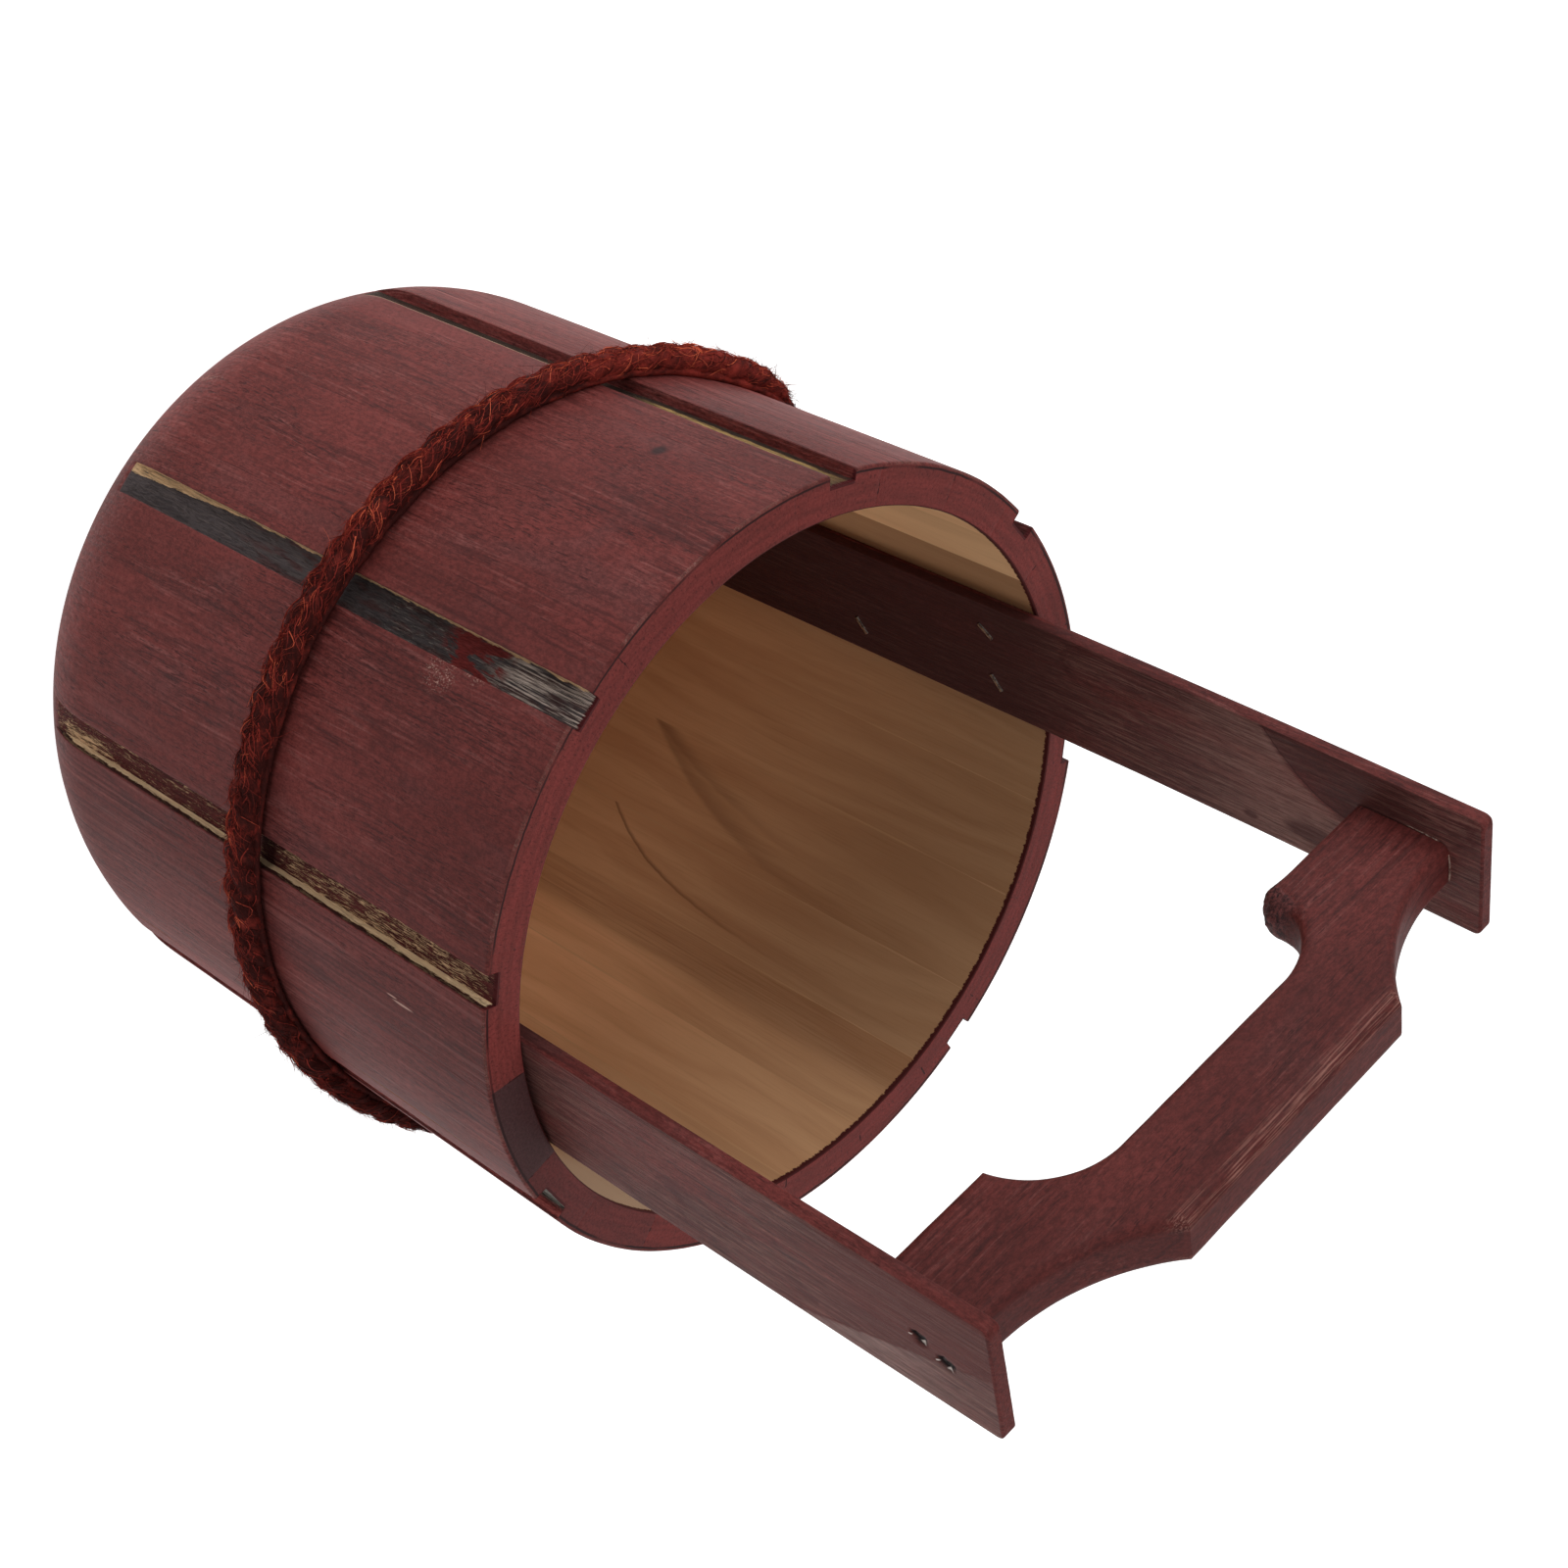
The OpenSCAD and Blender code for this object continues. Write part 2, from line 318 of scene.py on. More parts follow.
def make_piece(name, points, faces, finishes, replaced, face_finish=None, marks=None,
               sharp=40):
    """An object on the root body. marks are values kept at its points, by name; sharp is the least
    angle between two faces that shows as an edge."""
    mesh = bpy.data.meshes.new(name)
    mesh.from_pydata([(x * MM, y * MM, z * MM) for x, y, z in points], [], faces)
    for finish in finishes:
        mesh.materials.append(finish)
    if face_finish is not None:
        mesh.polygons.foreach_set("material_index", face_finish)
    for mark, values in (marks or {}).items():
        wide = isinstance(values[0], tuple)
        store = mesh.attributes.new(mark, "FLOAT_VECTOR" if wide else "FLOAT", "POINT")
        flat = [v for value in values for v in value] if wide else values
        store.data.foreach_set("vector" if wide else "value", flat)
    solid = bmesh.new()
    solid.from_mesh(mesh)
    bmesh.ops.remove_doubles(solid, verts=solid.verts, dist=SAME_POINT * MM)
    bmesh.ops.dissolve_degenerate(solid, edges=solid.edges, dist=SAME_POINT * MM)
    bmesh.ops.recalc_face_normals(solid, faces=solid.faces)
    solid.to_mesh(mesh)
    solid.free()
    mesh.polygons.foreach_set("use_smooth", [True] * len(mesh.polygons))
    mesh.set_sharp_from_angle(angle=math.radians(sharp))
    mesh.update()
    piece = bpy.data.objects.new(name, mesh)
    bpy.context.scene.collection.objects.link(piece)
    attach(piece, "root")
    if replaced:
        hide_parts(*replaced)
    return piece


def skin(rings, size, base=0):
    """Faces between rings of points that were listed one ring after another, and over both ends."""
    faces = []
    for i in range(rings - 1):
        for k in range(size):
            a, b = base + i * size + k, base + i * size + (k + 1) % size
            faces.append((a, b, b + size, a + size))
    faces.append(tuple(range(base, base + size))[::-1])
    faces.append(tuple(range(base + (rings - 1) * size, base + rings * size)))
    return faces


def wave(x, y, z=0.0):
    """A smooth random height from about -1 to 1."""
    return noise.noise(Vector((x, y, z)))


def steps(start, end, size):
    """Evenly spaced values from start to end, with both ends in."""
    count = max(1, round(abs(end - start) / size))
    return [start + (end - start) * k / count for k in range(count + 1)]


print("five steps:", steps(0, 10, 2.1))

# %% [markdown]
# ## The stained outside
# The stain is thin: the grain shows through as darker lines, and it has gone on redder in some places
# and browner in others. Real stain varies at several sizes at once, so the finish adds broad clouds,
# long streaks and short pores. All of them run along the stave because their coordinates, kept in the
# mesh as distance round the wall, depth and height, are stretched along the height. Each stave adds
# its own number to them, so that the pattern breaks at every seam as it does between two boards.

# %% Stain colours
RED = rgb(111, 50, 47)
DEEP = rgb(95, 41, 38)
PLUM = rgb(98, 56, 55)
PALE = rgb(146, 92, 88)
LINE = rgb(58, 24, 24)
SOOT = rgb(66, 60, 56)
print("stain red in linear light:", tuple(round(v, 3) for v in RED))

# %% [markdown]
# ### The stain's recipe
# The recipe lays one pattern over another: broad clouds first, then fibres, streaks and year rings,
# and pores and dust last. It hands back the fibres and the pores as well as the colour, because they
# also make the relief of whatever is stained.

# %% Stain recipe
RINGS = 74.0


def stain(f, grain, wear=1.0):
    """Colour and relief of stained wood. grain is in millimetres: across, deep, along."""
    broad = f.cloud(grain, (0.028, 0.03, 0.011), 3)
    patch = f.cloud(grain, (0.05, 0.05, 0.02), 4, 0.6, 0.6)
    streak = f.cloud(grain, (0.42, 0.3, 0.014), 4, 0.62, 0.4)
    lean = f.times(f.cloud(grain, (0.03, 0.03, 0.009), 2), 9.0)
    leant = f.shift(grain, f.join(lean, 0.0, 0.0))
    fibre = f.cloud(leant, (1.2, 1.0, 0.055), 4, 0.65)
    pore = f.cloud(leant, (3.0, 2.6, 0.26), 3, 0.55)
    lined = f.rise(f.cloud(grain, (0.05, 0.06, 0.018), 3), 0.42, 0.62, 0.25, 1.0)
    colour = f.blend(f.rise(broad, 0.34, 0.66), RED, DEEP)
    colour = f.blend(f.rise(patch, 0.48, 0.72, 0.0, 0.5), colour, PLUM)
    pale = f.rise(fibre, 0.50, 0.68, 0.0, 0.42 * wear)
    colour = f.blend(f.times(pale, lined), colour, PALE)
    colour = f.blend(f.times(f.rise(fibre, 0.46, 0.34, 0.0, 0.7), lined), colour, LINE)
    mottle = f.cloud(grain, (0.85, 0.85, 0.5), 4, 0.85)
    colour = f.shade(colour, f.rise(mottle, 0.32, 0.68, 0.66, 1.34))
    colour = f.blend(f.rise(streak, 0.42, 0.28, 0.0, 0.5), colour, LINE)

    # year rings cut by the surface: thin lines where a slow, stretched noise passes set heights
    ring = f.step("SINE", f.times(f.cloud(grain, (0.05, 0.05, 0.0048), 2, 0.45, 0.25), RINGS))
    zone = f.rise(f.cloud(grain, (0.04, 0.05, 0.011), 2), 0.44, 0.60, 0.04, 0.8)
    broken = f.rise(f.cloud(grain, (0.8, 0.8, 0.09), 3, 0.7), 0.36, 0.60)
    lines = f.times(f.rise(ring, 0.55, 1.0), f.times(zone, broken))
    colour = f.blend(f.times(lines, 0.75), colour, LINE)
    where = f.rise(f.cloud(grain, (0.09, 0.1, 0.018), 3), 0.42, 0.6)
    pores = f.times(f.rise(pore, 0.44, 0.34), where)
    colour = f.blend(f.times(pores, 0.85), colour, LINE)
    dust = f.cloud(grain, (1.7, 1.7, 1.1), 2, 0.7)
    colour = f.blend(f.rise(dust, 0.70, 0.80, 0.0, 0.35 * wear), colour, PALE)
    return colour, fibre, pores


print("year rings over the whole range of the noise:", round(RINGS / math.tau, 1))

# %% [markdown]
# ## The outside of the wall
# One finish covers the whole outside, and is built up from the large to the small: first the tone,
# which differs from stave to stave and from top to bottom. Each stave was stained on its own, one side
# of the wall dried streaky, and open end grain shows where the base was turned round. Painted light
# is laid over the tone: the wall is darker towards the mouth, and lighter on the turned base and on
# the side that faces the light.

# %% Wall tones and painted light
BASE_OPEN = 34


def wall_tones_and_light(f, lay, grain, stave, colour):
    """Stained colour with its broad differences and painted light, and how much of a point is turned
    base.
    """
    across, _, along = f.parts(lay)
    tone = f.put("ShaderNodeTexWhiteNoise", {"W": stave}, "Value", noise_dimensions="1D")
    colour = f.shade(colour, f.rise(tone, 0.0, 1.0, 0.95, 1.05))
    # painted light: darker towards the mouth, lighter where the wall faces the light and on the turned
    # base
    colour = f.shade(colour, f.rise(along, 90, 185, 1.0, 0.84))
    colour = f.shade(colour, f.rise(across, 498, 486, 1.0, 1.26))
    colour = f.shade(colour, f.rise(along, 36, 6, 1.0, 1.16))
    rift = f.cloud(grain, (0.95, 0.8, 0.013), 3, 0.6)
    dry = f.most(f.rise(across, 504, 484), f.rise(across, 640, 690))
    colour = f.blend(f.times(dry, f.rise(rift, 0.46, 0.36, 0.0, 0.6)), colour, LINE)
    colour = f.blend(f.times(dry, f.rise(rift, 0.54, 0.66, 0.0, 0.3)), colour, PALE)
    grit = f.cloud(lay, (1.1, 1.1, 0.55), 4, 0.7)
    base = f.rise(along, BASE_OPEN, 8)
    colour = f.blend(f.times(base, f.rise(grit, 0.42, 0.30, 0.0, 0.8)), colour, LINE)
    colour = f.blend(f.times(base, f.rise(grit, 0.52, 0.66, 0.0, 0.5)), colour, PALE)
    return colour, base


print("open end grain up to", BASE_OPEN, "mm")

# %% [markdown]
# ## Marks of use
# A new-looking wall would be wrong: this one has a knot, two scratches and some scuffs. Each mark is a
# soft spot at a place on the wall, and a noise breaks up the spots that are rubbed rather than cut.

# %% Marks of use
# each: its middle and its reach, in mm round the wall, into the wood and up. Every reach into the wood
# is 9 mm, which takes in any point of the surface
KNOT = (523.3, 0, 157.4), (2.4, 9, 1.9)
SCRATCHES = [((691.8, 0, 168.4), (0.35, 9, 3.6)), ((690.9, 0, 164.2), (0.25, 9, 1.8))]
SCUFFS = [((606.7, 0, 154.9), (4.2, 9, 5.0)), ((602.4, 0, 166.0), (2.6, 9, 3.2)),
          ((561.0, 0, 11.0), (1.3, 9, 7.0))]


def marks_of_use(f, lay, torn, colour):
    colour = f.blend(f.near(lay, *KNOT, 0.5), colour, rgb(52, 30, 30))
    scratched = f.most(*[f.near(lay, *mark, 0.35) for mark in SCRATCHES])
    scuffed = f.most(*[f.near(lay, *mark, 0.6) for mark in SCUFFS])
    rubbed = f.most(scratched, f.times(scuffed, torn))
    return f.blend(f.times(rubbed, 0.75), colour, rgb(198, 160, 146))


print("marks on the wall:", 1 + len(SCRATCHES) + len(SCUFFS))

# %% [markdown]
# ## What the cutter left in the grooves
# No two grooves look alike, so each of four gets a small recipe of its own, picked out by the groove's
# number, which is kept in the mesh. The recipes share three patterns: fibres that run along the groove,
# flakes that are coarser, and a line that wanders beside the groove's middle.

# %% Grooves worn yellow and sooty
KNOCKED, YELLOW, SOOTY, SHREDDED = 0, 5, 6, 7


def yellow_groove(f, cut, colour):
    """Yellow, worn wood from the rope to the mouth, and painted light on its shaded wall."""
    worn = f.times(f.band(cut.along, 128, 194, 9), f.rise(cut.wander, -1.9, -1.1))
    colour = f.blend(0.75, colour, rgb(66, 53, 45))
    colour = f.blend(f.times(worn, f.rise(cut.fibres, 0.34, 0.62, 0.35, 1.0)), colour,
                     rgb(196, 160, 104))
    # painted light: the groove's shaded wall is the wall's stain made much lighter
    return f.blend(f.rise(cut.side, -4.3, -4.6), colour, f.shade(cut.stained, 1.6))


def sooty_groove(f, cut, _):
    """Sooty, with a cream lip torn along its upper edge, and silver fibres at its end."""
    grain, along, fibres = cut.grain, cut.along, cut.fibres
    colour = f.blend(f.rise(fibres, 0.4, 0.7, 0.0, 0.6), rgb(78, 70, 71), rgb(104, 92, 88))
    tint = f.rise(f.cloud(grain, (0.5, 0.3, 0.10), 3, 0.6), 0.46, 0.62, 0.0, 0.6)
    colour = f.blend(f.times(tint, f.rise(along, 50, 80)), colour, rgb(82, 46, 44))
    colour = f.shade(colour, f.rise(along, 108, 128, 1.0, 0.66))
    flecks = f.rise(f.cloud(grain, (2.6, 1.0, 0.16), 4, 0.8, 0.6), 0.56, 0.64)
    flecks = f.times(flecks, f.band(along, 124, 176, 6))
    colour = f.blend(f.times(flecks, 0.7), colour, rgb(146, 136, 126))
    silver = f.rise(f.cloud(grain, (2.4, 1.0, 0.055), 4, 0.7), 0.46, 0.60)
    colour = f.blend(f.times(silver, f.rise(along, 160, 178)), colour, rgb(190, 172, 160))
    left = f.rise(f.cloud(grain, (0.35, 0.3, 0.09), 4, 0.6, 0.8), 0.44, 0.52)
    colour = f.blend(f.times(f.band(along, 148, 170, 3), left), colour, rgb(108, 40, 38))
    strip = f.below(f.plus(cut.wander, 3.4), f.rise(along, 8, 70, 2.6, 0.02))
    colour = f.blend(f.times(strip, f.rise(fibres, 0.26, 0.5)), colour, rgb(228, 188, 142))
    lip = f.times(f.band(cut.depth, 0.35, 1.5, 0.15), f.rise(cut.side, -4.4, -4.6))
    return f.blend(f.times(lip, f.rise(fibres, 0.2, 0.6, 0.5, 1.0)), colour, rgb(238, 196, 150))


print("grooves are numbered from", KNOCKED, "at the near upright; the sooty one is", SOOTY)

# %% [markdown]
# The next groove has cream fibres torn up from its floor, mostly at its two ends, and all along its
# lower wall, with a painted shadow beside them on that wall. They stand proud of the floor, so the amount
# of tearing is used for the relief too. The last one was stained with the wall, and split grey where its
# corner was knocked off at the mouth; its far wall is made lighter with painted light.

# %% Grooves shredded and knocked
def tears_of(f, cut):
    """How much a point of the shredded groove's floor is torn up."""
    start = f.times(f.rise(cut.along, 52, 22), f.rise(cut.side, -1.5, 2.5, 0.1, 1.0),
                    f.rise(cut.along, 10, 16))
    prong = f.times(f.band(cut.along, 13, 34, 3), f.band(cut.side, -4.4, -3.2, 0.3))
    end = f.band(cut.along, 112, 196, 8)
    thick = f.most(f.times(f.most(start, prong), 0.17), f.times(end, 0.10), 0.04)
    return f.rise(f.plus(cut.flakes, thick), 0.60, 0.66)


def shredded_groove(f, cut, _):
    colour = f.blend(cut.tears, f.shade(cut.stained, 0.78), rgb(222, 182, 140))
    wall = f.rise(f.plus(cut.depth, f.rise(cut.flakes, 0.3, 0.7, -0.4, 0.4)), 1.5, 1.9)
    wall = f.times(wall, f.rise(cut.along, 10.5, 12.5))
    lower = f.rise(cut.side, 4.50, 4.60)
    colour = f.blend(f.times(lower, wall), colour, rgb(248, 214, 170))
    # painted shadow: the lower wall is dark where it is not torn cream
    return f.blend(f.times(lower, f.minus(1.0, wall), 0.8), colour, rgb(48, 26, 24))


def knocked_groove(f, cut, _):
    split = f.blend(f.rise(cut.fibres, 0.40, 0.62), rgb(58, 60, 54), rgb(150, 142, 132))
    corner = f.times(f.rise(cut.along, 184, 188), f.rise(cut.side, 4.73, 4.62))
    # painted light: the far wall of the groove, which stands in shade, gets the stain up to twice as
    # light
    return f.blend(corner, f.shade(cut.stained, f.rise(cut.side, 3.9, 4.5, 0.9, 2.2)), split)


print("recipes:", [g.__name__ for g in (yellow_groove, sooty_groove, shredded_groove, knocked_groove)])

# %% [markdown]
# ### One look for each groove
# The shared patterns are made once. Every groove first gets soot and some of the wall's own stain.
# Then each recipe's colour is laid over that, but only where the groove's number is the recipe's own.

# %% Groove look
GROOVE_LOOKS = {YELLOW: yellow_groove, SOOTY: sooty_groove, SHREDDED: shredded_groove,
                KNOCKED: knocked_groove}


def groove_look(f, grain, along, stained):
    """Colour and relief in the grooves. stained is the colour that the wall has there."""
    number, side = f.read("groove"), f.read("notch")
    stray = f.times(f.cloud(grain, (0.0, 0.0, 0.12), 4, 0.7), 2.4)
    cut = SimpleNamespace(grain=grain, along=along, side=side, stained=stained, depth=f.read("cut"),
                          fibres=f.cloud(grain, (2.6, 1.0, 0.10), 4, 0.65, 0.3),
                          flakes=f.cloud(grain, (2.3, 1.0, 0.20), 4, 0.75, 0.9),
                          wander=f.plus(side, stray))
    cut.tears = tears_of(f, cut)
    bare = f.blend(f.rise(cut.fibres, 0.42, 0.66, 0.0, 0.75), SOOT, rgb(76, 50, 48))
    patches = f.rise(f.cloud(grain, (0.2, 0.2, 0.03), 3), 0.44, 0.56)
    bare = f.blend(patches, bare, f.shade(stained, 0.62))
    colour = bare
    for wanted, look in GROOVE_LOOKS.items():
        colour = f.blend(f.match(number, wanted), colour, look(f, cut, bare))

    # the stain of the rim runs a little way into each groove but the knocked one
    run = f.rise(f.plus(along, f.times(cut.flakes, 3.6)), 200.2, 200.8)
    colour = f.blend(f.times(run, f.above(number, 0.5)), colour, rgb(74, 24, 26))
    return colour, f.plus(cut.fibres, f.times(cut.tears, 0.6))


print("grooves with a look of their own:", len(GROOVE_LOOKS))

# %% [markdown]
# ## The wall's finish, put together
# The mesh keeps how deep a point lies in a groove, and how far it is from the groove's middle. They let
# one finish turn to bare wood inside a groove exactly where the cut is, with no seam between two
# materials. Last come the small things at the edges: thin dark lines where staves meet, paint rubbed off
# the arris of the rim and of one groove, the rim's pale edge being partly a painted highlight, and a
# painted shadow under the rope and along its upper side.

# %% Wall finish
GROOVE_HALF = 4.75


def wall_finish():
    f = Finish("stained_wall")
    lay, stave, side = f.read("lay", "Vector"), f.read("stave"), f.read("notch")
    grain = f.shift(lay, f.join(f.times(stave, 37.7), f.times(stave, 11.3), f.times(stave, 173.1)))
    across, _, along = f.parts(lay)
    colour, fibre, pores = stain(f, grain)
    colour, base = wall_tones_and_light(f, lay, grain, stave, colour)

    opened = f.rise(f.cloud(grain, (0.0, 0.0, 0.05), 3), 0.48, 0.66, 0.0, 0.30)
    colour = f.blend(f.times(f.below(f.read("seam"), opened), 0.55), colour, LINE)
    torn = f.rise(f.cloud(lay, (1.4, 1.0, 0.9), 4, 0.75, 1.5), 0.55, 0.62)
    colour = marks_of_use(f, lay, torn, colour)
    groove, groove_relief = groove_look(f, grain, along, colour)

    # paint rubbed off the rim's outer edge, made pale partly as a painted highlight on that edge
    rim_edge_wear_and_highlight = f.times(f.rise(along, 199.15, 199.5), f.rise(torn, 0.0, 1.0, 0.1, 0.5),
                       f.rise(f.cloud(lay, (0.05, 0, 0), 2), 0.45, 0.55))
    colour = f.blend(rim_edge_wear_and_highlight, colour, rgb(150, 116, 106))
    arris = f.times(f.rise(side, 4.62, 4.74), f.rise(side, 5.25, 5.05),
                    f.match(f.read("groove"), YELLOW), f.rise(along, 116, 100))
    colour = f.blend(f.times(arris, f.rise(torn, 0.0, 1.0, 0.55, 0.9)), colour, rgb(214, 186, 146))
    cut = f.rise(f.read("cut"), 0.35, 0.55)
    colour = f.blend(cut, colour, groove)
    # painted shadow of the rope: dark under it and in a band along its upper side, stronger further round
    beside = f.plus(f.read("rope"), f.times(f.cloud(lay, (0.25, 0, 0.25), 3), 1.4))
    painted_rope_shadow = f.times(f.rise(beside, -1.0, 0.5), f.rise(beside, 6.4, 4.6),
                   f.rise(across, 590, 650, 0.18, 0.62))
    colour = f.blend(painted_rope_shadow, colour, rgb(34, 16, 15))
    relief = [(f.times(f.cloud(lay, (0.7, 0.7, 0.4), 3), base), 0.35), (fibre, 0.10),
              (f.minus(1.0, pores), 0.10), (f.times(groove_relief, cut), 0.55)]
    shine = f.rise(f.most(painted_rope_shadow, f.times(cut, 0.3)), 0.0, 0.6, 0.11, 0.02)
    return f.close(colour, f.rise(fibre, 0.2, 0.8, 0.52, 0.66), relief, Specular_IOR_Level=shine)


stained_wall = wall_finish()
print("wall finish has", len(stained_wall.node_tree.nodes), "nodes")

# %% [markdown]
# ## The rim
# The tops of the staves are end grain: short pores instead of long lines, and they drink more stain,
# so the rim is redder than the wall. It was painted with a loaded brush, which left pale specks, and a
# dark line runs along the outer edge. A few staves by the near upright are darker, partly duller stain
# and partly a painted shadow of the upright, and one stave has a crack.

# %% Rim finish
DULL_SHADED_STAVE, CRACKED_STAVE, CRACK_AT = 21, 18, 581.4


def rim_finish():
    f = Finish("stained_rim")
    lay, stave, seam = f.read("lay", "Vector"), f.read("stave"), f.read("seam")
    across, deep, _ = f.parts(lay)
    brush = f.cloud(lay, (0.05, 0.5, 1.0), 3, 0.6)
    pore = f.cloud(lay, (1.3, 0.8, 1.0), 3, 0.65)
    colour = f.blend(f.rise(brush, 0.35, 0.65), rgb(124, 55, 52), rgb(108, 49, 46))
    # darker rim tops by the near upright: duller stain, and partly a painted shadow of the upright
    dull = f.most(f.match(stave, DULL_SHADED_STAVE), f.rise(stave, 2.5, 0.5, 0.0, 0.45))
    colour = f.blend(f.times(dull, 0.9), colour, rgb(64, 44, 45))
    colour = f.blend(f.rise(pore, 0.46, 0.32, 0.0, 0.6), colour, LINE)
    speckle = f.cloud(lay, (1.1, 1.1, 1.0), 4, 0.85)
    colour = f.shade(colour, f.rise(speckle, 0.32, 0.68, 0.76, 1.22))
    crack = f.minus(across, f.times(f.cloud(lay, (0, 0.5, 0), 2), 3.0))
    crack = f.times(f.rise(f.size(f.minus(crack, CRACK_AT)), 0.35, 0.15), f.rise(deep, 8, 5),
                    f.match(stave, CRACKED_STAVE))
    colour = f.blend(crack, colour, rgb(44, 20, 20))
    speck = f.cloud(lay, (2.1, 2.1, 1.0), 2, 0.7)
    inner = f.rise(deep, 3, 9)
    colour = f.blend(f.times(f.rise(speck, 0.68, 0.76), f.rise(inner, 0, 1, 0.15, 0.6)), colour, PALE)
    wobble = f.times(f.cloud(lay, (0.22, 0.0, 0.0), 3), 0.5)
    line = f.near(f.join(f.minus(deep, wobble), 0.0, 0.0), (0.95, 0, 0), (0.34, 1, 1), 0.5)
    there = f.rise(f.cloud(lay, (0.035, 0.0, 0.0), 2), 0.38, 0.50, 0.35, 1.0)
    colour = f.blend(f.times(line, there), colour, rgb(42, 20, 20))
    reach = f.rise(f.cloud(lay, (0.05, 0.25, 0.0), 3), 0.52, 0.64, 0.0, 0.3)
    colour = f.blend(f.below(seam, reach), colour, rgb(56, 26, 26))
    colour = f.blend(f.rise(f.read("cut"), 0.3, 0.9, 0.0, 0.8), colour, rgb(64, 22, 24))
    return f.close(colour, f.rise(pore, 0.2, 0.8, 0.5, 0.64), [(brush, 0.1), (pore, 0.08)],
                   Specular_IOR_Level=0.11)


stained_rim = rim_finish()
print("rim finish has", len(stained_rim.node_tree.nodes), "nodes")

# %% [markdown]
# ## Bare wood inside
# The inside was never stained. Planed softwood shows wide, soft bands, browner in the late wood; a
# noise bent by a slower noise gives them. In staves cut from the side of a log the year rings run out
# to the stave's side, so two of them get curves that swing out towards the base, dark on one side and
# fading on the other. The stave by the near upright is paler near its mouth. Painted light makes the
# whole inside paler towards the base, and three staves that stand in shade much paler. A pale line of
# dried glue follows each seam, and a ragged edge of stain has run over the rim's inner edge.

# %% Inside finish
def bare_wood(f, grain):
    """Colour and relief of planed wood. grain is in millimetres: across, deep, along."""
    across, deep, along = f.parts(grain)
    bend = f.cloud(grain, (0.03, 0.03, 0.006), 2)
    bands = f.join(f.plus(f.times(across, 0.055), f.times(bend, 2.4)), f.times(deep, 0.1),
                   f.times(along, 0.005))
    soft = f.put("ShaderNodeTexNoise", {"Vector": bands, "Scale": 1.6, "Detail": 4.0,
                                        "Roughness": 0.55})
    fibre = f.cloud(grain, (1.7, 1.2, 0.035), 3, 0.6)
    colour = f.blend(f.rise(soft, 0.27, 0.73), rgb(190, 149, 111), rgb(173, 130, 94))
    colour = f.blend(f.rise(fibre, 0.50, 0.30, 0.0, 0.16), colour, rgb(136, 92, 60))
    late = f.put("ShaderNodeTexNoise", {"Vector": bands, "Scale": 4.5, "Detail": 2.0})
    colour = f.blend(f.rise(late, 0.52, 0.84, 0.0, 0.16), colour, rgb(136, 94, 66))
    return colour, fibre


# each: where it ends (mm round the wall), how far it runs out, from what height, how fast,
# the two sides of its stave, its width, and its strength
RUNNING_RINGS = [(213.9, 24.9, 45, 31, 209.0, 237.7, 1.7, 0.62),
                 (232.8, 38.8, 49, 50, 237.8, 272.5, 9.0, 0.34),
                 (243.0, 34.0, 40, 60, 237.8, 272.5, 6.0, 0.25)]


def inside_finish():
    f = Finish("bare_inside")
    lay = f.read("lay", "Vector")
    stave = f.read("stave")
    own = f.join(f.times(stave, 53.1), 0.0, f.times(stave, 91.7))
    across, _, along = f.parts(lay)
    colour, fibre = bare_wood(f, f.shift(lay, own))
    # the tone is paler wood, and above 1.5 mostly painted light on staves in shade, made greyer there
    tone = f.read("tone")
    colour = f.blend(f.rise(tone, 1.5, 2.1, 0.0, 0.4), colour, rgb(166, 146, 112))
    bleached = f.times(f.rise(along, 152, 176), f.rise(across, 83.4, 83.0))
    colour = f.blend(f.times(bleached, 0.8), colour, rgb(212, 182, 153))
    colour = f.shade(colour, tone)
    # painted light: the inside is paler towards the base and darker near the mouth
    colour = f.shade(colour, f.rise(along, 195, 50, 0.86, 1.42))

    # year rings that run out to the side in two staves: dark on one edge, fading on the other
    for start, reach, foot, fall, stave_low, stave_high, width, strength in RUNNING_RINGS:
        drop = f.step("EXPONENT", f.times(f.minus(along, foot), -1 / fall))
        curve = f.plus(f.times(drop, reach), start)
        waver = f.times(f.cloud(lay, (0.0, 0.0, 0.12), 3), 1.6)
        away = f.minus(f.plus(across, waver), curve)
        ring = f.times(f.rise(away, -0.25 * width, 0.2), f.rise(away, width, 0.1))
        there = f.times(f.above(across, stave_low), f.below(across, stave_high),
                        f.rise(along, foot + 95, foot + 30, 0.12, 1.0))
        colour = f.blend(f.times(ring, there, strength), colour, rgb(98, 60, 38))

    # a dark band of late wood along one edge of a pale stave
    brown = f.times(f.rise(across, 189, 198), f.below(across, 208.9),
                    f.rise(fibre, 0.2, 0.8, 0.9, 0.6))
    colour = f.blend(f.times(brown, 0.6), colour, rgb(122, 80, 52))

    seam = f.read("seam")
    glue = f.below(seam, f.rise(f.cloud(lay, (0.02, 0, 0.04), 3), 0.4, 0.6, 0.10, 0.34))
    colour = f.blend(f.times(glue, 0.4), colour, rgb(206, 166, 124))
    ragged = f.plus(along, f.times(f.cloud(lay, (0.9, 0.5, 0.5), 4, 0.75), 2.7))
    colour = f.blend(f.rise(ragged, 199.55, 199.9), colour, rgb(66, 24, 23))
    return f.close(colour, 0.62, [(fibre, 0.05)], Specular_IOR_Level=0.12)


bare_inside = inside_finish()
print("year rings that run out:", len(RUNNING_RINGS))

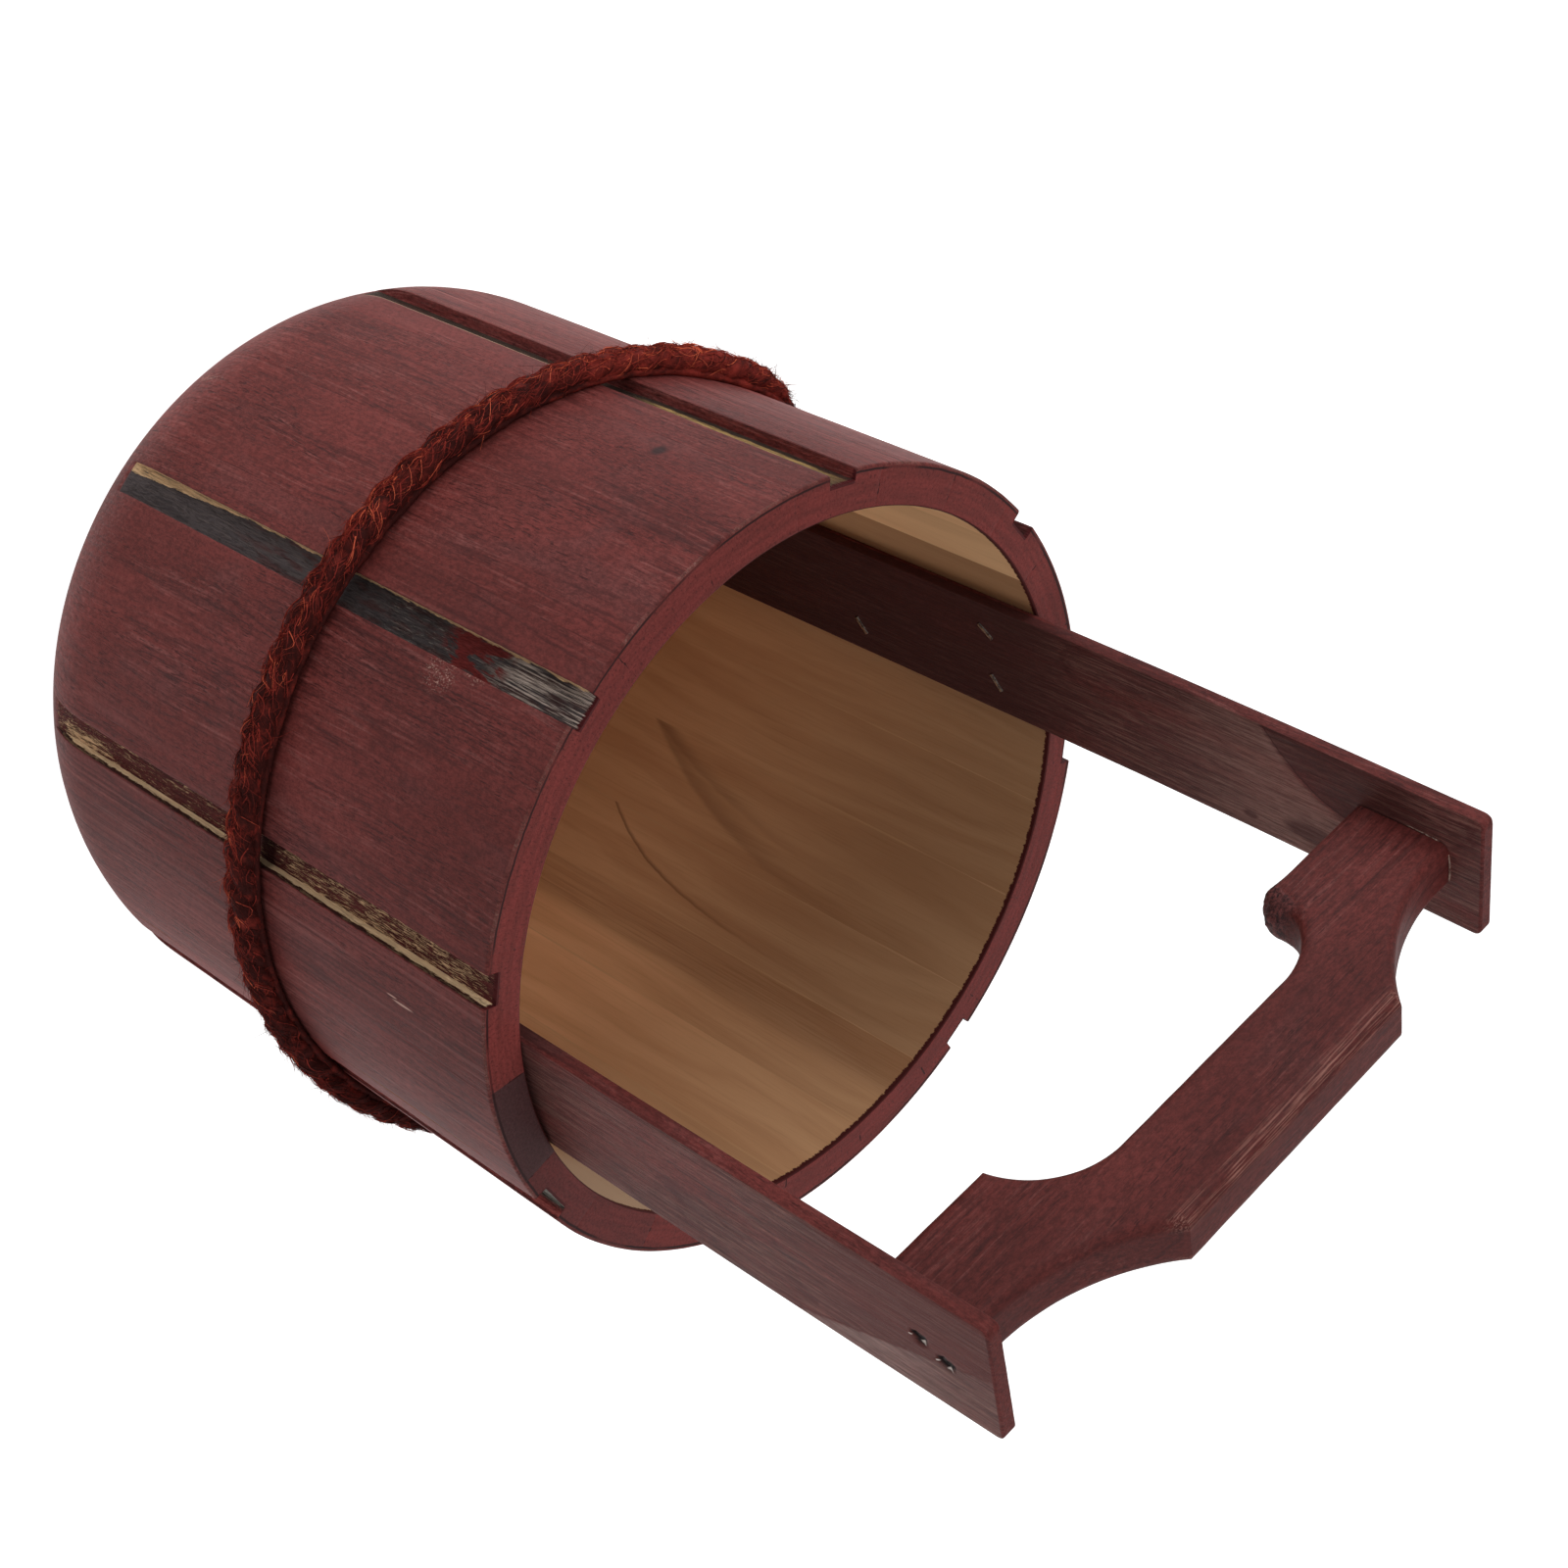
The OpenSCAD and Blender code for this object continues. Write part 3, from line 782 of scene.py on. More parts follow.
# %% [markdown]
# ## The staves
# A stave is one board of the round wall. Seen from its end it is a slice of a ring; seen from the side
# it has the wall's profile, rounded under at the base and with a channel inside for the bottom. The
# mesh is that profile drawn at many places across the board, with faces between neighbours. Where a
# groove runs, the places crowd together: several of them share almost the same position but go down
# in steps, and so make its upright walls. Small random wanders keep the edges from being ruled lines.

# %% Wall profile
# the wall: its radius at the mouth, height, thickness, and how much it narrows to its foot
MOUTH_R, WALL_H, STAVE_T, TAPER = 114.0, 200.0, 11.7, 0.6
# the turned base: the radius of its curve, and how far up it reaches
ROUND_R, ROUND_H = 47.0, 26.0
# how far the grooves' flat floors lie from the bucket's middle
GROOVE_FLOOR = 110.0
# the channel for the bottom: its radius, and the heights between which it runs
CROZE_R, BOTTOM_Z, BOTTOM_TOP = 105.3, 10.0, 20.0
INNER_R = MOUTH_R - STAVE_T
RIM_EASE = 0.7
# where two staves meet, in degrees round the wall
SEAMS = [11, 26, 42, 58, 72.5, 89.5, 105, 119.5, 137, 154, 170,
         185, 200, 214, 228, 244, 260, 276.5, 293, 312, 333, 353.5]
# staves that are lighter inside than the rest, by number; from 12 on this is mostly painted light on
# staves in shade
INSIDE_TONE_AND_LIGHT = {3: 1.3, 4: 1.4, 5: 1.3, 12: 2.2, 13: 2.4, 14: 2.1}
# the middles of the grooves, in degrees
GROOVES = [18.1, 66, 113.5, 162.5, 208.3, 251.5, 300.8, 338.1]


def wall_radius(z):
    """The outer radius of the wall at height z, with its base turned round."""
    if z >= ROUND_H:
        return MOUTH_R - TAPER + TAPER * z / WALL_H
    middle = MOUTH_R - TAPER + TAPER * ROUND_H / WALL_H - ROUND_R
    return middle + math.sqrt(ROUND_R ** 2 - (ROUND_H - z) ** 2)


# the rope: its height, its tilt in degrees, and the angle at which it is highest
ROPE_Z, ROPE_TILT, ROPE_HIGH = 113.0, 3.2, 170.0
# where its ends meet, and how far apart they are, in degrees
ROPE_ENDS, ROPE_GAP = 218.0, 2.0


def ease(share):
    """From 0 to 1, starting and ending gently."""
    share = min(1.0, max(0.0, share))
    return share * share * (3 - 2 * share)


def rope_lift(angle):
    """How far the rope strays from its plane. Its first end was laid above its last one."""
    turned = (angle - ROPE_ENDS) % 360
    first = 3.6 * math.exp(-(max(0.0, turned - 9) / 9) ** 2)
    return first - 12 * ease((turned - 285) / 65) + 0.6 * wave(turned * 0.06, 2.2)


def rope_height(angle):
    """Height of the rope's middle at an angle round the wall."""
    lean = MOUTH_R * math.sin(math.radians(ROPE_TILT))
    return ROPE_Z + rope_lift(angle) + lean * math.cos(math.radians(angle - ROPE_HIGH))


OUTER_LEVELS = ([0.0, 0.25, 0.7] + steps(2, ROUND_H, 1.7) + steps(28, 196, 1.7)
                + [197.3, 198.3, 198.9, 199.3, 199.62, 199.86, 200.0])
RIM_SHARES = [0.04, 0.10, 0.22, 0.38, 0.55, 0.72, 0.86, 0.95, 1.0]
INNER_LEVELS = ([199.7, 199.2] + steps(197, BOTTOM_TOP, 4.5)
                + [BOTTOM_TOP - 0.001, BOTTOM_Z + 0.001, BOTTOM_Z, 5.0, 0.3, 0.0])
print("profile points:", len(OUTER_LEVELS) + len(RIM_SHARES) + len(INNER_LEVELS))

# %% [markdown]
# ### Places across a stave
# Away from a groove the places lie about 1.5 mm apart, which is fine enough for a curve this wide. In
# a groove they follow the cutter instead, and the list below says where. Each place goes down by its
# share of the groove's depth, so that the corners stay crisp when they are shaded.

# %% Places across a stave
# how far each place in a groove lies from its middle, and how much of its depth it has
CUT_SIDE = [(5.6, 0.0), (5.0, 0.0), (4.78, 0.05), (4.74, 0.35), (4.71, 0.75), (4.62, 0.96),
            (4.2, 1.0), (3.4, 1.0), (2.4, 1.0), (1.2, 1.0)]
# degrees between two places, degrees from a seam to the next place, and half of a groove's room in mm
STEP_ACROSS, SEAM_INSET, GROOVE_ROOM = 0.78, 0.14, 6.4


def places_across(start, end, groove):
    """(angle, distance from the groove's middle or None, share of the groove's depth)"""
    if groove is None:
        inner = steps(start + SEAM_INSET, end - SEAM_INSET, STEP_ACROSS)
        return [(a, None, 0.0) for a in [start] + inner + [end]]
    reach = math.degrees(math.asin(GROOVE_ROOM / MOUTH_R))
    first = [start] + steps(start + SEAM_INSET, groove - reach, STEP_ACROSS)
    last = steps(groove + reach, end - SEAM_INSET, STEP_ACROSS) + [end]
    cut = [(-y, k) for y, k in CUT_SIDE] + [(0.0, 1.0)] + [(y, k) for y, k in CUT_SIDE[::-1]]
    middle = [(groove + math.degrees(math.asin(y / MOUTH_R)), y, k) for y, k in cut]
    return [(a, None, 0.0) for a in first] + middle + [(a, None, 0.0) for a in last]


def edge_wander(number, side, z):
    """How far a groove's edge strays outwards at height z."""
    stray = 0.10 * wave(z * 0.35, side * 7, number * 3) + 0.05 * wave(z * 1.3, side * 9, number)
    if number == KNOCKED:  # the corner that was knocked off by the near upright
        knocked = max(0.0, (z - 186) / 14)
        stray += knocked * (1.5 + 0.5 * wave(z * 0.5, side * 5))
    if number == SHREDDED:
        stray += 0.16 * max(0.0, wave(z * 0.8, side * 3, 4))
    return stray


def wall_wobble(angle, z):
    """Slight unevenness of a wall that was turned and sanded by hand."""
    return 0.10 * wave(angle * 0.09, z * 0.03, 1.7) + 0.035 * wave(angle * 0.4, z * 0.06, 5.1)


print("places across the first stave:", len(places_across(SEAMS[0], SEAMS[1], GROOVES[KNOCKED])))

# %% [markdown]
# ### Building the staves
# Each place across gives one closed loop: up the outside, over the rim and down the inside. Loops side
# by side are joined by faces, and a face's position in the loop says whether it is wall, rim or inside,
# and so which finish it gets. The mesh keeps what the finishes read: where each point lies on the wall,
# how deep it is cut, and how far it is from a seam, from the groove's middle and from the rope.

# %% Build the staves
def outer_point(place, number, groove, z, seam_room):
    """A point on the outside, and how deep it lies in a groove."""
    angle, side, share = place
    radius = wall_radius(z) + (wall_wobble(angle, z) if z > 1 else 0.0)
    over = z - (WALL_H - RIM_EASE)
    if over > 0:
        radius -= RIM_EASE - math.sqrt(max(0.0, RIM_EASE ** 2 - over ** 2))
    if side is None:
        radius -= seam_room
        turn = math.radians(angle)
        return radius * math.cos(turn), radius * math.sin(turn), 0.0
    if number == YELLOW:  # this groove was cut less deep towards the mouth
        share *= 1 - 0.18 * ease((z - 112) / 20)
    which = 1 if side > 0 else -1
    y = side + which * edge_wander(number, which, z) * min(1.0, abs(side) / GROOVE_HALF)
    full = max(0.0, math.sqrt(radius ** 2 - y ** 2) - GROOVE_FLOOR)
    rough = 0.07 * wave(y * 1.4, z * 0.10, number) + 0.05 * wave(y * 3.1, z * 0.3, number + 9)
    x = math.sqrt(radius ** 2 - y ** 2) - share * full - (rough * min(1, full) if share > 0.9 else 0)
    turn = math.radians(groove)
    return (x * math.cos(turn) - y * math.sin(turn),
            x * math.sin(turn) + y * math.cos(turn), share * full)


def arc_length(degrees):
    """How far an angle reaches round the wall's mouth."""
    return math.radians(degrees) * MOUTH_R


def stave_loop(place, number, groove, start, end):
    """The profile at one place across: points, with their marks."""
    angle = place[0]
    turn = math.radians(angle)
    at_seam = min(angle - start, end - angle)
    arc, near_seam = arc_length(angle), min(arc_length(at_seam), 99.0)
    loop = []

    def add(x, y, z, cut):
        loop.append(((x, y, z), (arc, wall_radius(z) - math.hypot(x, y), z), cut, near_seam))

    for z in OUTER_LEVELS:
        open_seam = 0.03 + 0.09 * max(0.0, wave(angle, z * 0.02, 3.3) - 0.1)
        room = max(0.02, open_seam) if at_seam < 0.01 else 0.0
        x, y, cut = outer_point(place, number, groove, z, room)
        add(x, y, z, cut)
    rim_x, rim_y, rim_cut = outer_point(place, number, groove, WALL_H, 0.0)
    inner = INNER_R + 0.35
    for share in RIM_SHARES:
        x = rim_x + (inner * math.cos(turn) - rim_x) * share
        y = rim_y + (inner * math.sin(turn) - rim_y) * share
        lift = 0.05 * wave(x * 0.22, y * 0.22, 8.0) - 0.05
        if at_seam < 0.01:
            lift -= 0.03 + 0.1 * max(0.0, wave(angle, share * 2, 6.0))
        add(x, y, WALL_H + lift, rim_cut * max(0.0, 1 - share * 9))
    for z in INNER_LEVELS:
        seated = BOTTOM_Z < z < BOTTOM_TOP
        radius = CROZE_R if seated else INNER_R + 0.04 * wave(angle * 0.3, z * 0.05, 2.0)
        add(radius * math.cos(turn), radius * math.sin(turn), z, 0.0)
    return loop


def build_stave(index):
    """One stave, with its groove if it has one. Its faces are of three kinds: wall, rim, inside."""
    start = SEAMS[index]
    end = SEAMS[index + 1] if index + 1 < len(SEAMS) else SEAMS[0] + 360
    found = [n for n, a in enumerate(GROOVES) if start + 1.5 < a < end - 1.5]
    number = found[0] if found else -1
    groove = GROOVES[number] if found else None
    places = places_across(start, end, groove)
    loops = [stave_loop(p, number, groove, start, end) for p in places]
    size = len(loops[0])
    points = [row[0] for loop in loops for row in loop]
    marks = {
        "lay": [row[1] for loop in loops for row in loop],
        "cut": [row[2] for loop in loops for row in loop],
        "seam": [row[3] for loop in loops for row in loop],
        "notch": [(p[1] if p[1] is not None else 9.0) for p in places for _ in range(size)],
        "stave": [float(index)] * len(points),
        "rope": [row[1][2] - rope_height(p[0]) for p, loop in zip(places, loops) for row in loop],
        "tone": [INSIDE_TONE_AND_LIGHT.get(index, 1.0)] * len(points),
        "groove": [float(number)] * len(points),
    }
    faces, kinds = [], []
    outside, rim = len(OUTER_LEVELS), len(OUTER_LEVELS) + len(RIM_SHARES)
    for i in range(len(loops) - 1):
        for k in range(size):
            following = (k + 1) % size
            a, b = i * size + k, i * size + following
            c, d = (i + 1) * size + following, (i + 1) * size + k
            faces.append((a, d, c, b))
            kinds.append(0 if k < outside - 1 else 1 if k < rim - 1 else 2 if k < size - 1 else 0)
    faces.append(tuple(range(size)))
    faces.append(tuple(range((len(loops) - 1) * size, len(loops) * size))[::-1])
    kinds += [2, 2]
    name = f"stave_{index + 1:02d}"
    return make_piece(f"stained_{name}", points, faces, [stained_wall, stained_rim, bare_inside],
                      [name], kinds, marks)


staves = [build_stave(i) for i in range(len(SEAMS))]
print("staves:", len(staves), "faces:", sum(len(s.data.polygons) for s in staves))

# %% [markdown]
# ## The bottom
# Four planks lie edge to edge in the channel round the inside. Their solids already have the right
# shape, but a planed board never has a razor edge. So each is copied, and a narrow bevel is put on the
# copy, which shows as a fine line where two planks meet.

# %% Bottom planks
def plank_finish():
    f = Finish("bare_planks")
    x, y, z = f.parts(f.place())
    board = f.step("FLOOR", f.times(x, 0.0188))
    own = f.join(f.plus(x, f.times(board, 47.0)), z, f.plus(y, f.times(board, 133.0)))
    colour, fibre = bare_wood(f, own)
    return f.close(colour, 0.64, [(fibre, 0.06)], Specular_IOR_Level=0.12)


def eased_copy(node, name, width, finish):
    """A copy of a CAD node with its edges bevelled."""
    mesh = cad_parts[node].data.copy()
    mesh.materials.clear()
    mesh.materials.append(finish)
    piece = bpy.data.objects.new(name, mesh)
    bpy.context.scene.collection.objects.link(piece)
    weld = piece.modifiers.new("weld", "WELD")
    weld.merge_threshold = 0.00001
    bevel = piece.modifiers.new("eased", "BEVEL")
    bevel.width = width * MM
    bevel.segments = 2
    bevel.angle_limit = math.radians(40)
    shown = piece.evaluated_get(bpy.context.evaluated_depsgraph_get())
    piece.data = bpy.data.meshes.new_from_object(shown)
    piece.modifiers.clear()
    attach(piece, "root")
    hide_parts(node)
    return piece


bare_planks = plank_finish()
planks = [eased_copy(f"bottom_plank_{k:02d}", f"planed_plank_{k:02d}", 0.5, bare_planks)
          for k in range(1, 5)]
print("planks:", [p.name for p in planks])

# %% [markdown]
# ## The uprights
# Two thin boards carry the grip. Theirs is the same stain, but it is worn so thin that the grey-brown
# wood shows through in pale streaks, except on the narrow edges, where it lies thick and red. The far
# board shows its year rings as one bold curve with dark patches beyond it. On the near one they run
# out slowly, bare on one side of a line and red on the other. Their inner faces are darker where they
# go down into the bucket, as painted shade. The nails were driven below the surface and left craters,
# painted nearly black inside as shade, with pale painted highlights on the side where light falls,
# which stand for torn fibres. The boards are bowed a little, and the mesh follows that bow level by
# level.

# %% Board finish
# the boards: width, thickness, height of their tops, and how far they stand beside the middle
UPRIGHT_W, UPRIGHT_T, UPRIGHT_TOP, SHIFT = 39.0, 4.3, 348.0, -1.2
# how far each board's top leans in (1 is the near board, -1 the far one), and how the lean grows,
# as (share of the height above the mouth, share of the lean)
BOW = {1: 1.2, -1: 2.6}
BOW_STEPS = [(0, 0), (0.25, 0.07), (0.5, 0.27), (0.7, 0.52), (1, 1)]
UPRIGHT_FACE = math.sqrt((INNER_R - 0.15) ** 2 - (UPRIGHT_W / 2 + abs(SHIFT)) ** 2)
# the underside of the grip's ends, and the nails' places, as (across, height above that underside)
END_LOW = 309.7
NAILS = [(-1.4, 16.2), (2.5, 23.6)]
CRATER_ACROSS, CRATER_UP, CRATER_DEEP = 2.1, 2.6, 1.5
TOP_ROUND = 2.5


def board_finish():
    f = Finish("worn_board")
    place = f.place()
    x, y, z = f.parts(place)
    grain = f.shift(f.join(y, x, z), (0, 0, 400))
    colour, fibre, _ = stain(f, grain, 1.3)
    streak = f.cloud(grain, (1.3, 0.3, 0.045), 5, 0.8, 0.6)
    thin = f.rise(f.cloud(grain, (0.06, 0.02, 0.012), 3, 0.6), 0.34, 0.58, 0.35, 0.9)
    grey = f.blend(f.rise(streak, 0.46, 0.60), rgb(74, 48, 46), rgb(118, 88, 80))
    edge = f.rise(f.read("edge"), 0.2, 0.8)
    colour = f.shade(colour, f.rise(edge, 0.0, 1.0, 0.78, 1.0))
    colour = f.blend(f.times(thin, edge, 0.8), colour, grey)
    dark = f.rise(f.cloud(grain, (0.05, 0.03, 0.02), 4, 0.65, 1.6), 0.60, 0.64, 0.0, 0.55)
    colour = f.blend(f.times(dark, edge), colour, rgb(72, 34, 34))
    fine = f.cloud(grain, (2.0, 0.5, 0.11), 4, 0.8)
    colour = f.shade(colour, f.plus(1.0, f.times(f.rise(fine, 0.34, 0.66, -0.34, 0.3), edge)))

    # year rings show on the far board as one bold curve, and as dark patches beyond it
    curve = f.times(f.step("POWER", f.size(f.minus(310, z)), 2), 0.0222)
    over = f.plus(y, curve, f.times(f.cloud(grain, (0, 0, 0.3), 3), 1.6))
    far = f.times(f.below(x, 0.0), f.rise(f.read("side"), 0.4, 0.6), edge, f.rise(z, 334, 316))
    near_grip = f.rise(z, 244, 292)
    beyond = f.times(f.rise(over, 0.0, -0.5, 0.0, 0.45), f.rise(z, 270, 284))
    line = f.times(f.rise(over, 0.2, -0.1), f.rise(over, -1.3, -0.4), f.rise(z, 262, 280))
    pale = f.times(far, near_grip, f.rise(over, 0.0, 2.5, 0.0, 0.5))
    colour = f.blend(f.times(pale, f.rise(fine, 0.38, 0.6, 0.35, 1.0)), colour, rgb(158, 120, 110))
    sheet = f.join(y, z, 0.0)
    knots = f.most(f.near(sheet, (10.5, 296.5, 0), (3.4, 9.5, 9), 0.25),
                   f.near(sheet, (13.5, 275.2, 0), (1.2, 2.4, 9), 0.3))
    dark = f.most(beyond, f.times(line, 0.85), f.times(knots, 0.7))
    colour = f.blend(f.times(far, dark), colour, rgb(62, 28, 27))

    # on the near board the rings run out slowly: bare wood on one side of a line, red on the other
    near = f.times(f.above(x, 0.0), f.rise(f.read("side"), 0.6, 0.4), edge)
    slope = f.times(f.minus(z, 299), 0.333)
    out = f.plus(f.minus(y, 13.6), slope, f.times(f.cloud(grain, (0, 0, 0.3), 3), 1.6))
    bare = f.times(f.rise(out, 0.0, 1.4, 0.0, 0.42), f.rise(fine, 0.36, 0.6, 0.4, 1.0),
                   f.rise(z, 344, 312, 0.25, 0.9))
    colour = f.blend(f.times(near, bare), colour, rgb(176, 148, 142))
    red = f.times(f.rise(out, -0.1, -1.4, 0.0, 0.6), f.rise(z, 285, 318))
    line = f.times(f.rise(out, -0.7, -0.2, 0.0, 0.9), f.rise(out, 0.5, 0.1))
    colour = f.blend(f.times(near, f.most(red, line)), colour, rgb(88, 45, 42))

    # painted shade: the inner faces are darker where they go down into the bucket
    inside = f.times(f.rise(z, 232, 190), f.rise(f.read("side"), 0.4, 0.6))
    colour = f.blend(f.times(inside, 0.8), colour, rgb(58, 32, 31))
    # painted shade: the nail craters are painted nearly black inside
    colour = f.blend(f.rise(f.read("crush"), 0.0, 0.5), colour, rgb(20, 11, 11))
    # painted highlights: pale spots on each crater's lit side, standing for torn fibres catching light
    for nail_y, nail_z in NAILS:  # a few torn fibres shine at each nail
        spot = (nail_y + SHIFT + 1.7, END_LOW + nail_z + 1.0, 0)
        other = (nail_y + SHIFT + 0.6, END_LOW + nail_z - 2.5, 0)
        glint = f.most(f.near(sheet, spot, (0.28, 0.9, 9), 0.4), f.near(sheet, other, (0.2, 0.5, 9), 0.4))
        glint = f.times(glint, f.rise(fine, 0.36, 0.46))
        colour = f.blend(f.times(glint, f.rise(f.read("side"), 0.6, 0.4)), colour, rgb(222, 208, 200))
    return f.close(colour, f.rise(fibre, 0.2, 0.8, 0.55, 0.7), [(fibre, 0.14), (streak, 0.12)],
                   Specular_IOR_Level=0.11)


worn_board = board_finish()
print("board finish has", len(worn_board.node_tree.nodes), "nodes")

# %% [markdown]
# ### Building the uprights
# A board is one section repeated at many heights. The section has small bevels, so that its edges
# catch the light, and it narrows near the top, where the corners are rounded. The nails' craters are
# pressed into the outer face by moving its points inwards.

# %% Build the uprights
def bow_at(side, z):
    """How far a board's outer face stands from the centre line at height z."""
    share = max(0.0, (z - WALL_H) / (UPRIGHT_TOP - WALL_H))
    for (a, low), (b, high) in zip(BOW_STEPS, BOW_STEPS[1:]):
        if share <= b:
            return UPRIGHT_FACE - BOW[side] * (low + (high - low) * (share - a) / (b - a))
    return UPRIGHT_FACE - BOW[side]


def board_ring():
    """A board's section: (across, through, edge), with through 0 on the outer face."""
    half, bevel = UPRIGHT_W / 2, 0.45
    across = [-half + bevel] + steps(-half + 2, half - 2, 0.9) + [half - bevel]
    corner = [(half - 0.1, bevel * 0.3, 0.5), (half, bevel, 0.0), (half, UPRIGHT_T / 2, 0.0),
              (half, UPRIGHT_T - bevel, 0.0), (half - 0.1, UPRIGHT_T - bevel * 0.3, 0.5)]
    ring = [(y, 0.0, 1.0) for y in across] + corner
    ring += [(y, UPRIGHT_T, 1.0) for y in across[::-1]]
    return ring + [(-y, through, edge) for y, through, edge in corner[::-1]]


def build_board(side, name, node):
    ring = board_ring()
    levels = (steps(BOTTOM_TOP, 196, 8) + steps(198, 340, 1.2)
              + [342, 344, 345.5, 346.3, 347, 347.5, 347.8, 347.95, 348])
    points, marks = [], {"edge": [], "crush": [], "side": []}
    for z in levels:
        over = max(0.0, z - (UPRIGHT_TOP - TOP_ROUND))
        pinch = TOP_ROUND - math.sqrt(max(0.0, TOP_ROUND ** 2 - over ** 2))
        lip = 0.35 * max(0.0, (z - 347.5) / 0.5)
        for y, through, edge in ring:
            y_in = y * (UPRIGHT_W / 2 - pinch) / (UPRIGHT_W / 2)
            hole = 0.0
            for nail_y, nail_z in NAILS:
                away = math.hypot((y - nail_y) / CRATER_ACROSS, (z - END_LOW - nail_z) / CRATER_UP)
                away += 0.5 * wave(y * 0.9, z * 0.9, side)
                hole = max(hole, 1 - away) if through == 0.0 else hole
            dent = min(1.0, max(0.0, hole) * 1.9)
            uneven = 0.05 * wave(y * 0.35, z * 0.04, through + side * 5)
            inward = through + (dent * CRATER_DEEP if through == 0.0 else 0.0) + uneven
            inward += lip * (1 if through < UPRIGHT_T / 2 else -1)
            x = bow_at(side, z) - min(max(inward, 0.0), UPRIGHT_T + 0.05)
            points.append((side * x, y_in + SHIFT, z))
            marks["edge"].append(edge * min(1.0, max(0.0, (347.4 - z) / 0.6)))
            marks["crush"].append(dent)
            marks["side"].append(0.0 if through < UPRIGHT_T / 2 else 1.0)
    faces = skin(len(levels), len(ring))
    if side < 0:
        faces = [face[::-1] for face in faces]
    return make_piece(name, points, faces, [worn_board], [node], marks=marks)


boards = [build_board(1, "worn_upright_right", "upright_right"),
          build_board(-1, "worn_upright_left", "upright_left")]
print("board faces:", [len(b.data.polygons) for b in boards])

# %% [markdown]
# ## The grip
# The grip was sawn from one board: a flat crest, two sweeps, and a hollow for the fingers. Its outline
# is drawn once as a closed line. To round the edges, the line is repeated across the thickness, and
# near each face it is moved inwards a little along its own normal. One shoulder of the hollow was torn
# rather than sawn, so there the line is pushed out and roughened.

# %% Grip outline
# the grip: thickness, height and half length of its crest, radius of its sweeps, and their rise
GRIP_T, CREST_Z, CREST_HALF, SWEEP_R, RISE = 15.0, 357.8, 42.0, 65.0, 19.8
# the hollow: height of its roof, half its width at the mouth, radius of its corners; the sanded edge
HOLLOW_TOP, HOLLOW_HALF, HOLLOW_R, ARRIS = 330.5, 57.0, 26.0, 3.0
END_TOP = CREST_Z - RISE
SWEEP_X = CREST_HALF + math.sqrt(SWEEP_R ** 2 - (SWEEP_R - RISE) ** 2)
HOLLOW_X = HOLLOW_HALF - math.sqrt(HOLLOW_R ** 2 - (HOLLOW_R - (HOLLOW_TOP - END_LOW)) ** 2)


def grip_stations():
    """The grip's outline as (run, value) pairs, clockwise seen from the front. The value is a
    height along an end, a direction in degrees along an arc, and an X place elsewhere."""
    sweep = math.degrees(math.asin((SWEEP_X - CREST_HALF) / SWEEP_R))
    hollow = math.degrees(math.acos((HOLLOW_HALF - HOLLOW_X) / HOLLOW_R))
    far = UPRIGHT_FACE - UPRIGHT_T
    fine, size = math.degrees(0.7 / HOLLOW_R), math.degrees(1.0 / SWEEP_R)
    runs = [("left end", steps(END_LOW, END_TOP, 1.6)),
            ("left top", steps(-far, -SWEEP_X, 1.0)),
            ("left sweep", steps(-90, -90 + sweep, size)),
            ("crest", steps(-CREST_HALF, CREST_HALF, 1.2)),
            ("right sweep", steps(-90 - sweep, -90, size)),
            ("right top", steps(SWEEP_X, far, 1.0)),
            ("right end", steps(END_TOP, END_LOW, 1.6)),
            ("right under", steps(far, HOLLOW_HALF, 1.0)),
            ("right hollow", steps(hollow, 90, fine)),
            ("roof", steps(HOLLOW_X, -HOLLOW_X, 1.2)),
            ("left hollow", steps(90, 180 - hollow, fine)),
            ("left under", steps(-HOLLOW_HALF, -far, 1.0))]
    return [(run, value) for run, values in runs for value in values]


def outline_point(run, value, inset, end_inset):
    """A point of the outline, moved into the wood by inset."""
    side = -1 if run.startswith("left") else 1
    low = HOLLOW_TOP - HOLLOW_R
    high = END_TOP + SWEEP_R

    def end_x(z):
        return side * (bow_at(side, z) - UPRIGHT_T - end_inset)

    def hollow_x(z):
        return HOLLOW_X + math.sqrt(max(0.0, (HOLLOW_R + inset) ** 2 - (z - low) ** 2))

    def sweep_x(z):
        return SWEEP_X - math.sqrt(max(0.0, (SWEEP_R + inset) ** 2 - (z - high) ** 2))

    if run.endswith("end"):
        z = min(max(value, END_LOW + inset), END_TOP - inset)
        return end_x(z), z
    if run.endswith("top"):
        z = END_TOP - inset
        return side * min(abs(value), abs(end_x(z))), z
    if run.endswith("under"):
        z = END_LOW + inset
        return side * min(max(abs(value), hollow_x(z)), abs(end_x(z))), z
    if run == "crest":
        reach = sweep_x(CREST_Z - inset)
        return max(-reach, min(reach, value)), CREST_Z - inset
    if run == "roof":
        return value, HOLLOW_TOP + inset
    turn = math.radians(value)
    if run.endswith("sweep"):
        z = min(high + (SWEEP_R + inset) * math.sin(turn), CREST_Z - inset)
        return side * sweep_x(z), z
    z = max(low + (HOLLOW_R + inset) * math.sin(turn), END_LOW + inset)
    return side * hollow_x(z), z


stations = grip_stations()
print("places along the outline:", len(stations))

# %% [markdown]
# ### The grip's finish
# A grip is worn where hands hold it, so the edges of its crest are rubbed pale along the grain. The
# torn shoulder is dark in its pits and paler on its ridges. Position keeps the wear in its place, and
# a value in the mesh keeps the torn wood in its own.

